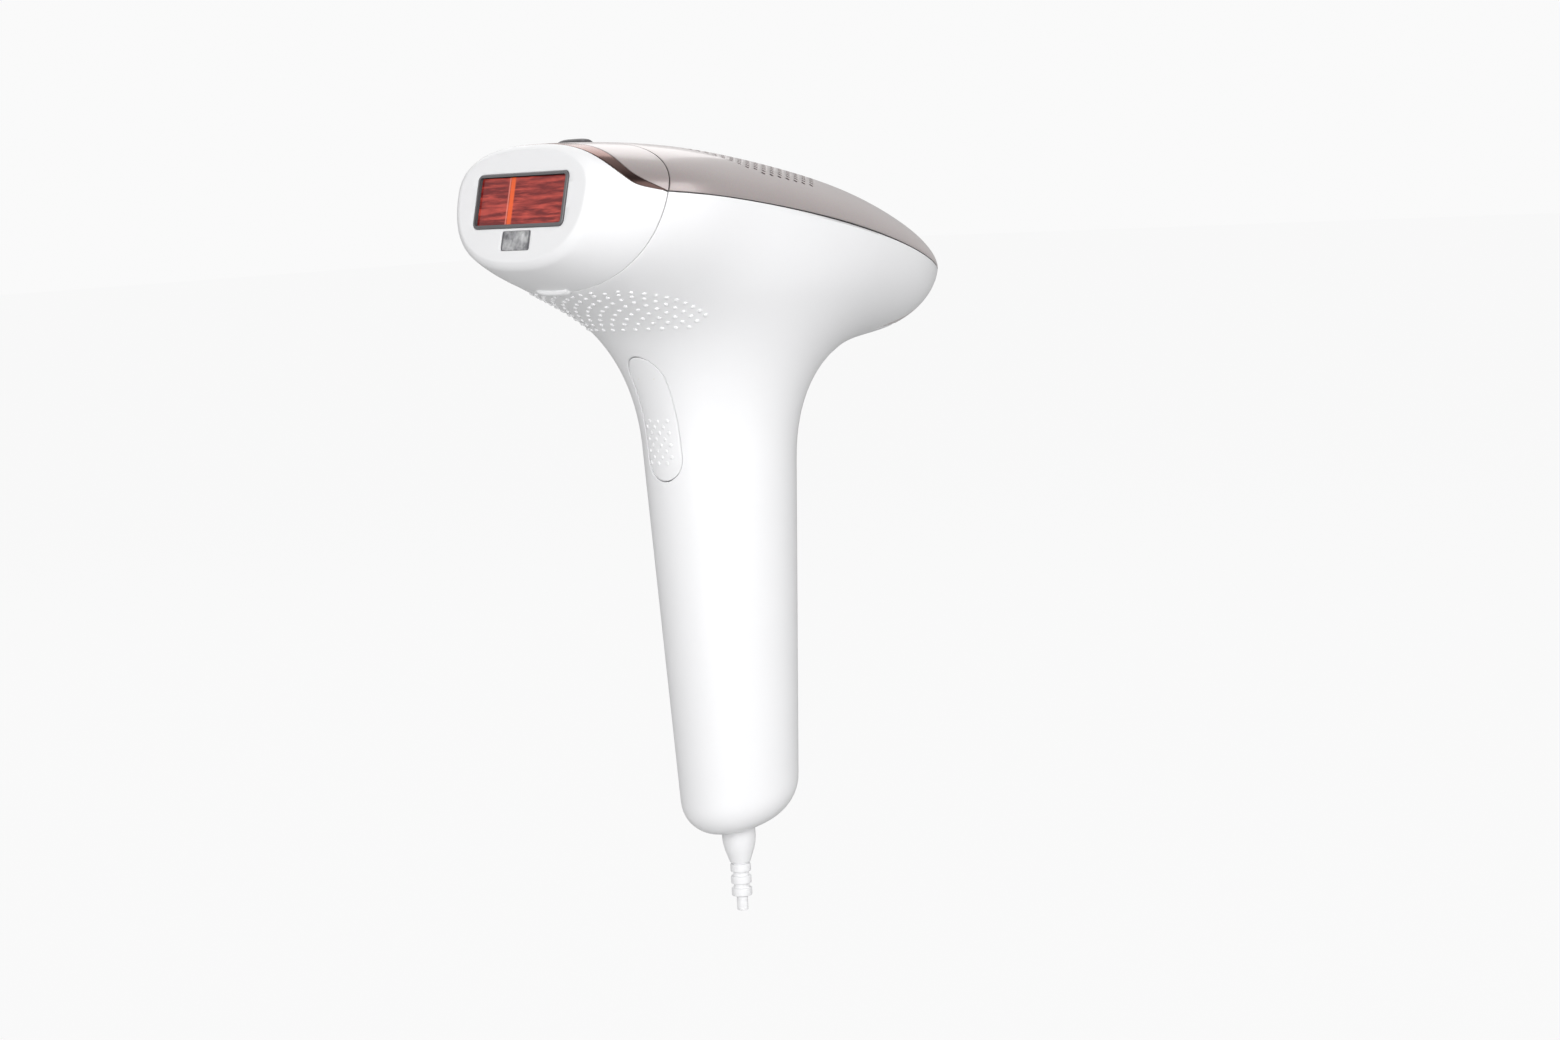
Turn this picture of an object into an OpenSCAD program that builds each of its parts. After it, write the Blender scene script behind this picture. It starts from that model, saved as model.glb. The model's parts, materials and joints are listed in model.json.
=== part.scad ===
// Handheld light-pulse hair remover: a T-shaped handset with a lift-off head attachment.
// Lengths are in mm and angles in degrees.
// Frame: the origin is the centre of the light window on the contact face, X runs rearwards,
// Y runs across the handset and Z runs up along the handle.
// Head coordinates [s, y, t] are the same frame leant back with the contact face:
// s is the distance behind the contact face and t runs up along it.

/* [Head] */
// Backward lean of the contact face and head
head_tilt = 14.6; // [13.5:0.1:15.5]
// Length of the head from the contact face to the tail tip
head_l = 143.8; // [141:0.2:147]
// Largest half width of the head
head_half_w = 38; // [37:0.1:39]
// Half width of the contact face
face_half_w = 24.3; // [23:0.1:25]
// Distance from the contact face to the seam where the attachment lifts off
rim_s = 17.5; // [17:0.1:18]

/* [Handle] */
// Distance from the contact face back to the handle axis
handle_x = 65.85; // [64:0.5:67]
// Half depth of the handle at its top
handle_top_r = 23.7; // [23:0.1:25]
// Half depth of the handle at its lower end
handle_low_r = 16.55; // [16:0.1:17.5]
// Half width of the handle as a share of its half depth
handle_flatness = 0.88; // [0.86:0.01:0.92]
// Height of the underside of the handle on its axis
handle_z = -169.95; // [-175:0.5:-168]

/* [Shells] */
// Wall of the handset shells
wall = 2.2; // [1.8:0.1:2.4]
// Gap between neighbouring covers at a seam
seam_gap = 0.2; // [0.1:0.05:0.3]

/* [Light window] */
// Width over the window frame
window_w = 33.4; // [32:0.2:34]
// Height over the window frame
window_h = 13.9; // [13:0.1:14]
// Width of the window frame's rim
bezel = 1.1; // [0.9:0.1:1.3]

/* [Trigger] */
// Width of the trigger button
trigger_w = 12; // [11:0.5:12.5]
// Height of the trigger button
trigger_l = 33; // [31:0.5:34]

/* [Hidden] */
$fn = 64;
eps = 0.01;

// Colours
white = [0.95, 0.95, 0.95];
taupe = [0.66, 0.60, 0.59];
bronze = [0.55, 0.36, 0.30];
steel = [0.72, 0.73, 0.75];
dark = [0.25, 0.25, 0.27];

// ---------------------------------------------------------------- body surface

// Widest line of the head, which is also the seam between white shell and top cover
seam_level = 4.77;
seam_slope = 0.141;
seam_bow = -0.0009;
// Powers of the oval sections at the contact face, at the rim and at the tail
face_power = 2.44;
rim_power_up = 2.35;
rim_power_down = 2.2;
tail_power = 1.86;
// Lean of the rim seam against the contact face
rim_lean = 3.25;
// Rounding of the handle's lower end, slope of its underside, and blend into the head
handle_round = 9.4;
handle_slope = 0.185;
blend = 34.8;
// The handle tapers from z_taper_top to z_taper_low, and ends inside the head at z_cap
z_taper_top = -30;
z_taper_low = -170;
z_cap = -28;

function seam_t(s) = seam_level + seam_slope * (s - rim_s) + seam_bow * pow(s - rim_s, 2);

// A profile that grows from the face to its widest place, then closes at the tail tip
function swell(s, face, widest, at, grow, close, tip) =
    s < at
    ? widest - (widest - face) * pow((at - s) / at, grow)
    : widest * pow(max(0, 1 - pow((s - at) / (head_l - at), close)), 1 / tip);

function half_w(s) = swell(s, face_half_w, head_half_w, 36.7, 2.07, 2.9, 2.73);
function half_up(s) = swell(s, 11.9, 15, 50.6, 2.09, 2.86, 2.22);
function half_down(s) = swell(s, 18.9, 28.1, 37.8, 1.95, 3.36, 2.51);
function mix(a, b, w) = a + (b - a) * w;
function clamp01(w) = max(0, min(1, w));
function smooth(w) = clamp01(w) * clamp01(w) * (3 - 2 * clamp01(w));
function oval_power(s, up) =
    let (rim_power = up ? rim_power_up : rim_power_down)
    s < rim_s
    ? mix(face_power, rim_power, clamp01(s / rim_s))
    : mix(rim_power, tail_power, clamp01((s - rim_s) / (head_l - rim_s)));

// Head coordinates to part coordinates, and back
function from_head(p) = [
    p[0] * cos(head_tilt) + p[2] * sin(head_tilt),
    p[1],
    -p[0] * sin(head_tilt) + p[2] * cos(head_tilt)
];
function to_head(p) = [
    p[0] * cos(head_tilt) - p[2] * sin(head_tilt),
    p[1],
    p[0] * sin(head_tilt) + p[2] * cos(head_tilt)
];

// Signed distance-like fields, negative inside
function head_field(p) =
    let (
        h = to_head(p),
        q = h[2] - seam_t(h[0]),
        a = max(half_w(h[0]), 0.05),
        v = max(q > 0 ? half_up(h[0]) : half_down(h[0]), 0.05),
        n = oval_power(h[0], q > 0),
        g = pow(pow(abs(h[1]) / a, n) + pow(abs(q) / v, n), 1 / n)
    )
    norm([h[1], q]) * (1 - 1 / max(g, 0.001));

function handle_r(z) =
    mix(handle_low_r, handle_top_r, (z - z_taper_low) / (z_taper_top - z_taper_low));

function handle_field(p) =
    let (
        dx = p[0] - handle_x,
        a = max(handle_r(p[2]), 3),
        g = norm([dx / a, p[1] / (handle_flatness * a)]),
        side = norm([dx, p[1]]) * (1 - 1 / max(g, 0.001)) + handle_round,
        floor_z = (handle_z + handle_slope * dx - p[2]) / norm([1, handle_slope]),
        low = floor_z + handle_round,
        round_end = norm([max(side, 0), max(low, 0)]) + min(max(side, low), 0) - handle_round,
        cap = p[2] - z_cap
    )
    norm([max(round_end, 0), max(cap, 0)]) + min(max(round_end, cap), 0);

function body_field(p) =
    let (
        a = head_field(p),
        b = handle_field(p),
        h = max(blend - abs(a - b), 0) / blend
    )
    min(a, b) - h * h * blend / 4;

// Point where a ray from inside the body leaves it, between distances near and far
function leave(o, d, near = 0, far = 130, steps = 20) =
    steps == 0
    ? o + d * (near + far) / 2
    : let (m = (near + far) / 2)
      body_field(o + d * m) < 0
      ? leave(o, d, m, far, steps - 1)
      : leave(o, d, near, m, steps - 1);

// Outward normal of the body at a surface point
probe = 0.05;
function body_normal(p) =
    let (
        f = body_field(p),
        g = [for (i = [0:2]) body_field(p + probe * [i == 0 ? 1 : 0, i == 1 ? 1 : 0, i == 2 ? 1 : 0]) - f]
    )
    g / norm(g);

// ---------------------------------------------------------------- shells as grids

// Closed shell between two grids that have the same rows and columns
module shell_between(outer, inner) {
    rows = len(outer);
    cols = len(outer[0]);
    n = rows * cols;
    last = cols - 1;
    function id(side, i, j) = side * n + i * cols + j;
    quads = [
        for (i = [0:rows - 2], j = [0:last - 1]) each [
            [id(0, i, j), id(0, i + 1, j), id(0, i + 1, j + 1), id(0, i, j + 1)],
            [id(1, i, j), id(1, i, j + 1), id(1, i + 1, j + 1), id(1, i + 1, j)]
        ],
        for (j = [0:last - 1]) each [
            [id(0, 0, j), id(0, 0, j + 1), id(1, 0, j + 1), id(1, 0, j)],
            [id(0, rows - 1, j + 1), id(0, rows - 1, j), id(1, rows - 1, j), id(1, rows - 1, j + 1)]
        ],
        for (i = [0:rows - 2]) each [
            [id(0, i + 1, 0), id(0, i, 0), id(1, i, 0), id(1, i + 1, 0)],
            [id(0, i, last), id(0, i + 1, last), id(1, i + 1, last), id(1, i, last)]
        ]
    ];
    polyhedron(
        points = [each [for (r = outer) each r], each [for (r = inner) each r]],
        faces = [for (q = quads) each [[q[0], q[1], q[2]], [q[0], q[2], q[3]]]]
    );
}

module in_head() {
    rotate([0, head_tilt, 0]) children();
}

// Box between two corners
module block(low, high) {
    translate(low) cube(high - low);
}

// Rod along Y or along X, centred on a point or starting at it
module rod_y(at, r, l) {
    translate(at) rotate([90, 0, 0]) cylinder(r = r, h = l, center = true);
}

module rod_x(at, r, l) {
    translate(at) rotate([0, 90, 0]) cylinder(r = r, h = l);
}

// Rectangle with rounded corners in the Y-T plane, extruded along s from s1 to s2
module window_block(w, h, r, s1, s2, t = 0) {
    translate([s1, 0, t]) rotate([90, 0, 90]) linear_extrude(s2 - s1) {
        square([w - 2 * r, h], center = true);
        square([w, h - 2 * r], center = true);
        for (y = [-1, 1], z = [-1, 1])
            translate([y * (w / 2 - r), z * (h / 2 - r)]) circle(r);
    }
}

// ---------------------------------------------------------------- handset shells

// Top edge of the white shell: the rim arc under the nose, then the seam to the tail tip.
rim_cols = 8;
side_cols = 13;
rear_cols = 5;
// Half width of the tail strip that belongs to the rear shell, given as a place on the seam
split_s = 138.2;
// Half angle of the rear shell on the handle
split_angle = 33;

function rim_point(angle, sweep = 4, s = rim_s) =
    sweep == 0
    ? [s, half_w(s) * pow(cos(angle), 2 / rim_power_down),
       seam_t(s) - half_down(s) * pow(sin(angle), 2 / rim_power_down)]
    : let (t = seam_t(s) - half_down(s) * pow(sin(angle), 2 / rim_power_down))
      rim_point(angle, sweep - 1, rim_s + (t - seam_level) * tan(rim_lean) + seam_gap / 2);
function seam_point(s) = [s, half_w(s), seam_t(s) - seam_gap / 2];

function rim_edge() = [for (i = [0:rim_cols - 1]) rim_point(90 * (1 - i / rim_cols))];
function side_edge() = [
    for (i = [0:side_cols]) seam_point(mix(rim_s + seam_gap / 2, split_s, sin(90 * i / side_cols)))
];
function rear_edge() = [
    for (i = [1:rear_cols]) seam_point(mix(split_s, head_l, sin(90 * i / rear_cols)))
];

function plan_angle(p) = atan2(p[1], p[0] - handle_x);
split_top_angle = plan_angle(from_head(seam_point(split_s)));

// The angle a column reaches on the handle: the rear strip widens on its way down
function handle_angle(top) =
    top <= split_top_angle
    ? top * split_angle / split_top_angle
    : mix(split_angle, 180, (top - split_top_angle) / (180 - split_top_angle));

// One column of surface points from the top edge down to the socket opening
fan_rows = 10;
drop_rows = 13;
foot_rows = 5;
foot_z = -160.5;
socket_r = 7.2;
// The socket and cord leave a little in front of the handle's axis
socket_x = handle_x - 1.25;
z_widen = -85;
function fan_hub_z(angle) = -41 - 3 * cos(angle);
function along(angle, rise) = [cos(angle) * cos(rise), sin(angle) * cos(rise), sin(rise)];
function shell_column(edge) =
    let (
        top = from_head(edge),
        angle = plan_angle(top),
        hub_z = fan_hub_z(angle),
        rise = atan2(top[2] - hub_z, norm([top[0] - handle_x, top[1]])),
        low_angle = handle_angle(angle)
    )
    [
        top,
        for (i = [1:fan_rows])
            leave([handle_x, 0, hub_z], along(angle, rise * (1 - i / fan_rows))),
        for (i = [1:drop_rows])
            let (
                z = mix(hub_z, foot_z, pow(i / drop_rows, 1.8)),
                a = mix(angle, low_angle, smooth((hub_z - z) / (hub_z - z_widen)))
            )
            leave([handle_x, 0, z], along(a, 0), 0, 90),
        for (i = [1:foot_rows])
            let (
                w = i / foot_rows,
                middle = [mix(handle_x, socket_x, w), 0, foot_z],
                o = socket_r * w * [cos(low_angle), sin(low_angle), 0]
            )
            leave(middle + o, along(low_angle, -90 * w), 0, 40)
    ];

function mirrored(p) = [p[0], -p[1], p[2]];
function reversed(list) = [for (i = [len(list) - 1:-1:0]) list[i]];
// The point a wall's depth inside the surface, kept under the seam
function inside(p, depth) =
    let (h = to_head(p - depth * body_normal(p)))
    from_head([h[0], h[1], min(h[2], seam_t(h[0]) - seam_gap / 2)]);
function columns_to_rows(cols, from, to) = [for (i = [from:to]) [for (c = cols) c[i]]];
last_row = fan_rows + drop_rows + foot_rows;
panel_rows = 7;

module socket_bore() {
    translate([socket_x, 0, handle_z - 5]) cylinder(r = socket_r - 0.1, h = 12);
}

module column_shell(cols, from, to) {
    outer = columns_to_rows(cols, from, to);
    shell_between(outer, [for (r = outer) [for (p = r) inside(p, wall)]]);
}

function main_columns() =
    let (half = [for (e = concat(rim_edge(), side_edge())) shell_column(e)])
    concat(
        reversed([for (i = [1:len(half) - 1]) [for (p = half[i]) mirrored(p)]]),
        half
    );

function rear_columns() =
    let (
        half = [for (e = concat([seam_point(split_s)], rear_edge())) shell_column(e)],
        side = concat([[for (p = half[0]) p - [0, seam_gap, 0]]],
            [for (i = [1:rear_cols]) half[i]])
    )
    concat(side, reversed([for (i = [0:rear_cols - 1]) [for (p = side[i]) mirrored(p)]]));

module main_shell() {
    color(white) difference() {
        column_shell(main_columns(), 0, last_row);
        trigger_prism(trigger_clear);
        socket_bore();
    }
}

module rear_shell() {
    color(white) difference() {
        column_shell(rear_columns(), panel_rows, last_row);
        socket_bore();
    }
}

module control_panel() {
    color(taupe) difference() {
        lowered = columns_to_rows(rear_columns(), 0, panel_rows);
        outer = [
            for (i = [0:panel_rows]) [
                for (p = lowered[i]) i < panel_rows ? p : p + [0, 0, seam_gap]
            ]
        ];
        shell_between(outer, [for (r = outer) [for (p = r) inside(p, wall)]]);
        on_panel() translate([0, 0, -8]) cylinder(r = button_r + 0.2, h = 16);
        light_rods(light_r + 0.05, 2);
    }
}

cover_rows = 22;
cover_cols = 24;
// The cover stops just short of the tail tip, where its section closes
cover_tip = 0.06;
// Point on the body over the seam, at an angle round the section from one seam to the other
function cover_point(s, angle) =
    let (
        n = 2 / oval_power(s, true),
        c = cos(angle),
        level = seam_t(s) + seam_gap / 2,
        to = [s, half_w(s) * sign(c) * pow(abs(c), n), level + half_up(s) * pow(abs(sin(angle)), n)],
        o = from_head([s, 0, level]),
        d = from_head(to) - o
    )
    leave(o, d / norm(d), 0, 60);
function cover_start(angle) =
    rim_s + seam_gap / 2 + half_up(rim_s) * tan(rim_lean) * pow(sin(angle), 2 / rim_power_up);

module top_cover() {
    outer = [
        for (i = [0:cover_rows]) [
            for (j = [0:cover_cols])
                let (angle = 180 * j / cover_cols)
                cover_point(mix(cover_start(angle), head_l - cover_tip, sin(90 * i / cover_rows)), angle)
        ]
    ];
    // the wall thins towards the tail tip, where the cover has less depth than the wall
    inner = [
        for (r = outer) [
            for (p = r)
                let (
                    h = to_head(p),
                    level = seam_t(h[0]) + seam_gap / 2,
                    depth = min(wall, 0.5 * half_up(h[0])),
                    across = min(wall, 0.3 * half_w(h[0]))
                )
                from_head([
                    h[0],
                    h[1] * (1 - across / half_w(h[0])),
                    level + (h[2] - level) * (1 - depth / half_up(h[0]))
                ])
        ]
    ];
    color(taupe) shell_between(outer, inner);
}

// ---------------------------------------------------------------- head attachment

plate_s = 0.3;
plate_thick = 1.8;
skin = 1.8;
edge_round = 2.5;
// Distance behind the face of the trim's front and rear edges, at an angle round the section.
// Both edges run back to the rim as they come down to the seam.
function side_angle(a) = a < 90 ? a : 180 - a;
function trim_front(a) = 2 + (rim_s - 2) * (0.42 * exp(-side_angle(a) / 1.6) + 0.58 * exp(-side_angle(a) / 22));
function trim_rear(a) = 6.7 + (rim_s - 6.7) * exp(-side_angle(a) / 10.6);

function edge_inset(s) =
    s < edge_round ? edge_round - sqrt(pow(edge_round, 2) - pow(edge_round - s, 2)) : 0;
function oval_point(s, angle, inset) =
    let (
        up = angle > 0 && angle < 180,
        n = 2 / oval_power(s, up),
        k = inset + edge_inset(s),
        c = cos(angle),
        v = up ? half_up(s) - k : k - half_down(s)
    )
    [s, (half_w(s) - k) * sign(c) * pow(abs(c), n), seam_t(s) + v * pow(abs(sin(angle)), n)];
function rim_at(angle) =
    rim_s - seam_gap / 2 + tan(rim_lean) * (
        sin(angle) > 0
        ? half_up(rim_s) * pow(sin(angle), 2 / rim_power_up)
        : -half_down(rim_s) * pow(-sin(angle), 2 / rim_power_down)
    );
side_angles = [0.8, 2, 4, 7, 11, 16, 22, 30, 40, 52, 65, 78];
upper_angles = concat(side_angles, 90, [for (i = [len(side_angles) - 1:-1:0]) 180 - side_angles[i]]);
lower_angles = [for (i = [0:23]) 180.5 + 179 * i / 23];

module attachment_shell() {
    shares = [0, 0.05, 0.13, 0.3, 0.55, 0.8, 1];
    angles = concat(upper_angles, lower_angles);
    function far_s(angle) =
        angle < 180 ? trim_front(angle) - seam_gap / 2 : rim_at(angle);
    function near_in(angle) = min(plate_s + plate_thick, far_s(angle) - 0.2);
    outer = [for (w = shares) [for (a = angles) oval_point(mix(plate_s, far_s(a), w), a, 0)]];
    inner = [for (w = shares) [for (a = angles) oval_point(mix(near_in(a), far_s(a), w), a, skin)]];
    n = len(angles);
    rows = len(shares);
    function id(side, i, j) = side * rows * n + i * n + j % n;
    front = 2 * rows * n;
    quads = [
        for (i = [0:rows - 2], j = [0:n - 1]) each [
            [id(0, i, j), id(0, i + 1, j), id(0, i + 1, j + 1), id(0, i, j + 1)],
            [id(1, i, j), id(1, i, j + 1), id(1, i + 1, j + 1), id(1, i + 1, j)]
        ],
        for (j = [0:n - 1])
            [id(0, rows - 1, j + 1), id(0, rows - 1, j), id(1, rows - 1, j), id(1, rows - 1, j + 1)]
    ];
    color(white) in_head() difference() {
        polyhedron(
            points = [
                each [for (r = outer) each r],
                each [for (r = inner) each r],
                [plate_s, 0, 0],
                [plate_s + plate_thick, 0, 0]
            ],
            faces = [
                for (q = quads) each [[q[0], q[1], q[2]], [q[0], q[2], q[3]]],
                for (j = [0:n - 1]) each [
                    [id(0, 0, j), id(0, 0, j + 1), front],
                    [id(1, 0, j + 1), id(1, 0, j), front + 1]
                ]
            ]
        );
        window_block(window_w, window_h, 1.6, -1, 4);
        window_block(sensor_w, sensor_h, 0.6, -1, 4, sensor_t);
    }
}

// Band of the attachment's upper skin, from_s and to_s holding its edges for each of upper_angles
module skin_band(from_s, to_s, depth, shares) {
    function grid(inset) = [
        for (w = shares) [
            for (i = [0:len(upper_angles) - 1]) oval_point(mix(from_s[i], to_s[i], w), upper_angles[i], inset)
        ]
    ];
    in_head() shell_between(grid(0), grid(depth));
}

module attachment_cover() {
    from_s = [for (a = upper_angles) min(trim_rear(a) + seam_gap / 4, rim_at(a) - 0.1)];
    to_s = [for (a = upper_angles) rim_at(a)];
    color(taupe) skin_band(from_s, to_s, 1.6, [0, 0.33, 0.66, 1]);
}

module attachment_trim() {
    from_s = [for (a = upper_angles) trim_front(a)];
    to_s = [for (a = upper_angles) min(trim_rear(a) - seam_gap / 4, rim_at(a) - 0.25)];
    color(bronze) skin_band(from_s, to_s, 1.2, [0, 0.5, 1]);
}

glass_recess = 0.8;
glass_thick = 1.5;
glass_w = window_w - 2 * bezel;
glass_h = window_h - 2 * bezel;
lip = 0.5;
fit_gap = 0.05;

module window_frame() {
    color("dimgray") in_head() difference() {
        window_block(window_w - 2 * fit_gap, window_h - 2 * fit_gap, 1.55, 0, 3.4);
        window_block(glass_w - 2 * lip, glass_h - 2 * lip, 0.5, -1, 4);
        window_block(glass_w, glass_h, 0.8, -1, glass_recess + glass_thick);
    }
}

module window_filter() {
    color("orangered") in_head()
        window_block(glass_w - 2 * fit_gap, glass_h - 2 * fit_gap, 0.8 - fit_gap,
            glass_recess, glass_recess + glass_thick);
}

tunnel_s = 3.5;
carrier_nose_s = 8.6;
module tunnel_reflector() {
    color(steel) in_head() difference() {
        window_block(glass_w, glass_h, 0.8, tunnel_s, carrier_nose_s - 0.3);
        window_block(glass_w - 2 * lip, glass_h - 2 * lip, 0.5, tunnel_s - 1, carrier_nose_s);
    }
}

sensor_w = 10.6;
sensor_h = 5;
sensor_t = -10.2;
module sensor_window() {
    color("silver") in_head()
        window_block(sensor_w - 2 * fit_gap, sensor_h - 2 * fit_gap, 0.55, 0.4, 2.6, sensor_t);
}

// Outline of the head's section at s, drawn in by inset
function section(s, inset, n = 60) = [
    for (i = [0:n - 1])
        let (
            a = 360 * i / n,
            up = sin(a) > 0,
            k = 2 / oval_power(s, up),
            v = up ? half_up(s) - inset : inset - half_down(s)
        )
        [
            (half_w(s) - inset) * sign(cos(a)) * pow(abs(cos(a)), k),
            seam_t(s) + v * pow(abs(sin(a)), k)
        ]
];

module section_plate(s1, s2, at, inset) {
    translate([s1, 0, 0]) rotate([90, 0, 90])
        linear_extrude(s2 - s1) polygon(section(at, inset));
}

box_w = 38;
box_h = 18.6;
base_s = 12.2;
base_thick = 1.8;
module attachment_base() {
    color("gray") in_head() difference() {
        union() {
            section_plate(base_s, base_s + base_thick, 11.5, skin + 0.4);
            for (side = [-1, 1])
                block([base_s, side * 25 - 2, -3], [carrier_back + 0.9, side * 25 + 2, 3]);
        }
        window_block(box_w + 1, box_h + 1, 0.8, base_s - 1, base_s + 3);
        block([base_s - 1, -5.2, -14], [base_s + 3, 5.2, -9]);
    }
}

contact_t = -15.2;
pad_s = base_s + base_thick;
module attachment_contacts() {
    color("goldenrod") in_head() block([pad_s, -5.5, contact_t - 1.1], [pad_s + 0.8, 5.5, contact_t + 1.1]);
}

// Grip ridges at the rim's top and bottom: half width, rear edge and rise of each
tab_front = 14.2;
module grip_tab(up, half, rear, rise) {
    rows = 3;
    cols = 8;
    function foot(y, s) =
        let (
            n = oval_power(s, up),
            k = pow(1 - pow(abs(y) / half_w(s), n), 1 / n)
        )
        up ? seam_t(s) + half_up(s) * k : seam_t(s) - half_down(s) * k;
    function crest(i, j) = rise * sqrt(sin(180 * (0.04 + 0.92 * i / rows)) * sin(180 * (0.04 + 0.92 * j / cols)));
    function grid(on) = [
        for (i = [0:rows]) [
            for (j = [0:cols])
                let (
                    s = mix(tab_front, rear, i / rows),
                    y = half * (2 * j / cols - 1),
                    h = foot(y, s) + (up ? 1 : -1) * (on ? crest(i, j) : 0.02)
                )
                [s, y, h]
        ]
    ];
    in_head() {
        if (up) shell_between(grid(false), grid(true));
        else shell_between(grid(true), grid(false));
    }
}

module top_tab() {
    color(dark) grip_tab(true, 5, 17.5, 1);
}

module bottom_tab() {
    color(white) grip_tab(false, 5.7, 16.2, 1);
}

// ---------------------------------------------------------------- light unit in the nose

carrier_s = 20.6;
carrier_thick = 2;
light_w = 34.4;
light_h = 15;
carrier_back = carrier_s + carrier_thick;

module front_carrier() {
    color("slategray") in_head() difference() {
        union() {
            section_plate(carrier_s, carrier_back, 18.5, wall + 0.9);
            window_block(box_w, box_h, 0.8, carrier_nose_s, carrier_s + eps);
        }
        window_block(light_w, light_h, 0.5, carrier_nose_s - 1, carrier_back + 1);
        window_block(36, 16.6, 0.5, carrier_nose_s - 1, carrier_nose_s + 1.6);
        block([carrier_s - 1, -6.1, contact_t - 1.6], [carrier_back + 1, 6.1, contact_t + 1.6]);
        block([carrier_s - 1, -4.6, -13.3], [carrier_back + 1, 4.6, -9.5]);
        for (side = [-1, 1]) block([carrier_s - 1, side * 25 - 2.6, -3.6], [carrier_back + 1, side * 25 + 2.6, 3.6]);
    }
}

module uv_filter() {
    color("lightcyan") in_head() window_block(35.9, 16.5, 0.45, carrier_nose_s + 0.1, carrier_nose_s + 1.6);
}

lamp_s = carrier_back + 9.4;
mirror_r = 7.3;
mirror_wall = 0.8;
module lamp_reflector() {
    half = light_w / 2;
    outer_r = mirror_r + mirror_wall;
    color(steel) in_head() difference() {
        union() {
            block([carrier_back, -half - mirror_wall, -outer_r], [lamp_s, half + mirror_wall, outer_r]);
            rod_y([lamp_s, 0, 0], outer_r, 2 * (half + mirror_wall));
        }
        block([carrier_back - 1, -half, -mirror_r], [lamp_s, half, mirror_r]);
        rod_y([lamp_s, 0, 0], mirror_r, 2 * half);
        rod_y([lamp_s, 0, 0], lamp_r + 0.4, 60);
    }
}

lamp_r = 3;
module flash_lamp() {
    color("aliceblue") in_head() rod_y([lamp_s, 0, 0], lamp_r, 48);
}

cap_r = 4.2;
module lamp_caps() {
    color("gold") in_head() for (side = [-1, 1]) difference() {
        rod_y([lamp_s, side * 23.5, 0], cap_r, 7);
        rod_y([lamp_s, side * 22, 0], lamp_r + 0.02, 4.1);
    }
}

module lamp_holders() {
    color("ivory") in_head() for (side = [-1, 1]) difference() {
        block([carrier_back, side * 23.5 - 2.5, -6], [lamp_s + 5.6, side * 23.5 + 2.5, 6]);
        rod_y([lamp_s, side * 23.5, 0], cap_r + 0.03, 8);
        block([carrier_back - 1, side * 25 - 3, -3.6], [carrier_back + 1.4, side * 25 + 3, 3.6]);
    }
}

pin_r = 0.6;
module contact_block() {
    color(dark) in_head() difference() {
        block([16.4, -6, contact_t - 1.5], [carrier_back + 1, 6, contact_t + 1.5]);
        for (y = [-4, 0, 4]) rod_x([16, y, contact_t], pin_r + 0.03, 6);
    }
}

module contact_pins() {
    color("gold") in_head() for (y = [-4, 0, 4]) rod_x([pad_s + 0.95, y, contact_t], pin_r, 6.5);
}

module skin_sensor() {
    color("dimgray") in_head() block([5, -4.5, -13.2], [carrier_back, 4.5, -9.6]);
}

// ---------------------------------------------------------------- fan under the top cover

fan_at = [63, 11.5];
fan_size = 45;
fan_deep = 10;
fan_r = 20.4;
hub_r = 8;
shaft_r = 1.5;
run_gap = 0.05;

module at_fan() {
    in_head() translate([fan_at[0], 0, fan_at[1]]) children();
}

module fan_frame() {
    half = fan_size / 2;
    color(dark) at_fan() {
        difference() {
            block([-half, -half, -fan_deep / 2], [half, half, fan_deep / 2]);
            cylinder(r = fan_r + 0.6, h = fan_deep + 2, center = true);
            for (x = [-1, 1], y = [-1, 1])
                translate([x * 19.5, y * 19.5, 0]) cylinder(r = 1.7, h = fan_deep + 2, center = true);
        }
        difference() {
            union() {
                translate([0, 0, -fan_deep / 2]) cylinder(r = hub_r, h = 1.6);
                for (a = [45:90:315])
                    rotate([0, 0, a]) translate([hub_r - 1, -1, -fan_deep / 2]) cube([fan_r - hub_r + 2, 2, 1.6]);
            }
            cylinder(r = shaft_r + run_gap, h = fan_deep + 2, center = true);
        }
    }
}

module fan_impeller() {
    blades = 9;
    color("black") at_fan() {
        translate([0, 0, -fan_deep / 2 + 1.9]) cylinder(r = hub_r, h = 7.6);
        translate([0, 0, -fan_deep / 2 + 0.1]) cylinder(r = shaft_r, h = 4);
        for (i = [0:blades - 1])
            rotate([0, 0, 360 * i / blades]) translate([hub_r - 0.6, 0, 0.7])
                rotate([38, 0, 0]) translate([0, -4.4, -0.45]) cube([fan_r - hub_r, 8.8, 0.9]);
    }
}

module air_duct() {
    half = fan_size / 2;
    color("gainsboro") at_fan() difference() {
        block([-half, -half, -12], [half, half, -fan_deep / 2]);
        block([-half + 1.2, -half + 1.2, -13], [half - 1.2, half - 1.2, 0]);
    }
}

// ---------------------------------------------------------------- trigger

trigger_z = -58.6;
trigger_clear = 0.3;
trigger_thick = 2;
hinge = [46.6, 0, -46];
hinge_pin_r = 1;
lever_r = 2.4;
lever_x = hinge[0] + 2.2;
plunger_z = hinge[2] - 12;
spring_z = hinge[2] - 23;
frame_x = 54.6;

// Stadium across the handle's front, extruded along X
module trigger_prism(grow) {
    r = trigger_w / 2 + grow;
    half = trigger_l / 2 - trigger_w / 2;
    translate([30, 0, trigger_z]) rotate([90, 0, 90]) linear_extrude(22) {
        square([2 * r, 2 * half], center = true);
        for (side = [-1, 1]) translate([0, side * half]) circle(r);
    }
}

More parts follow.
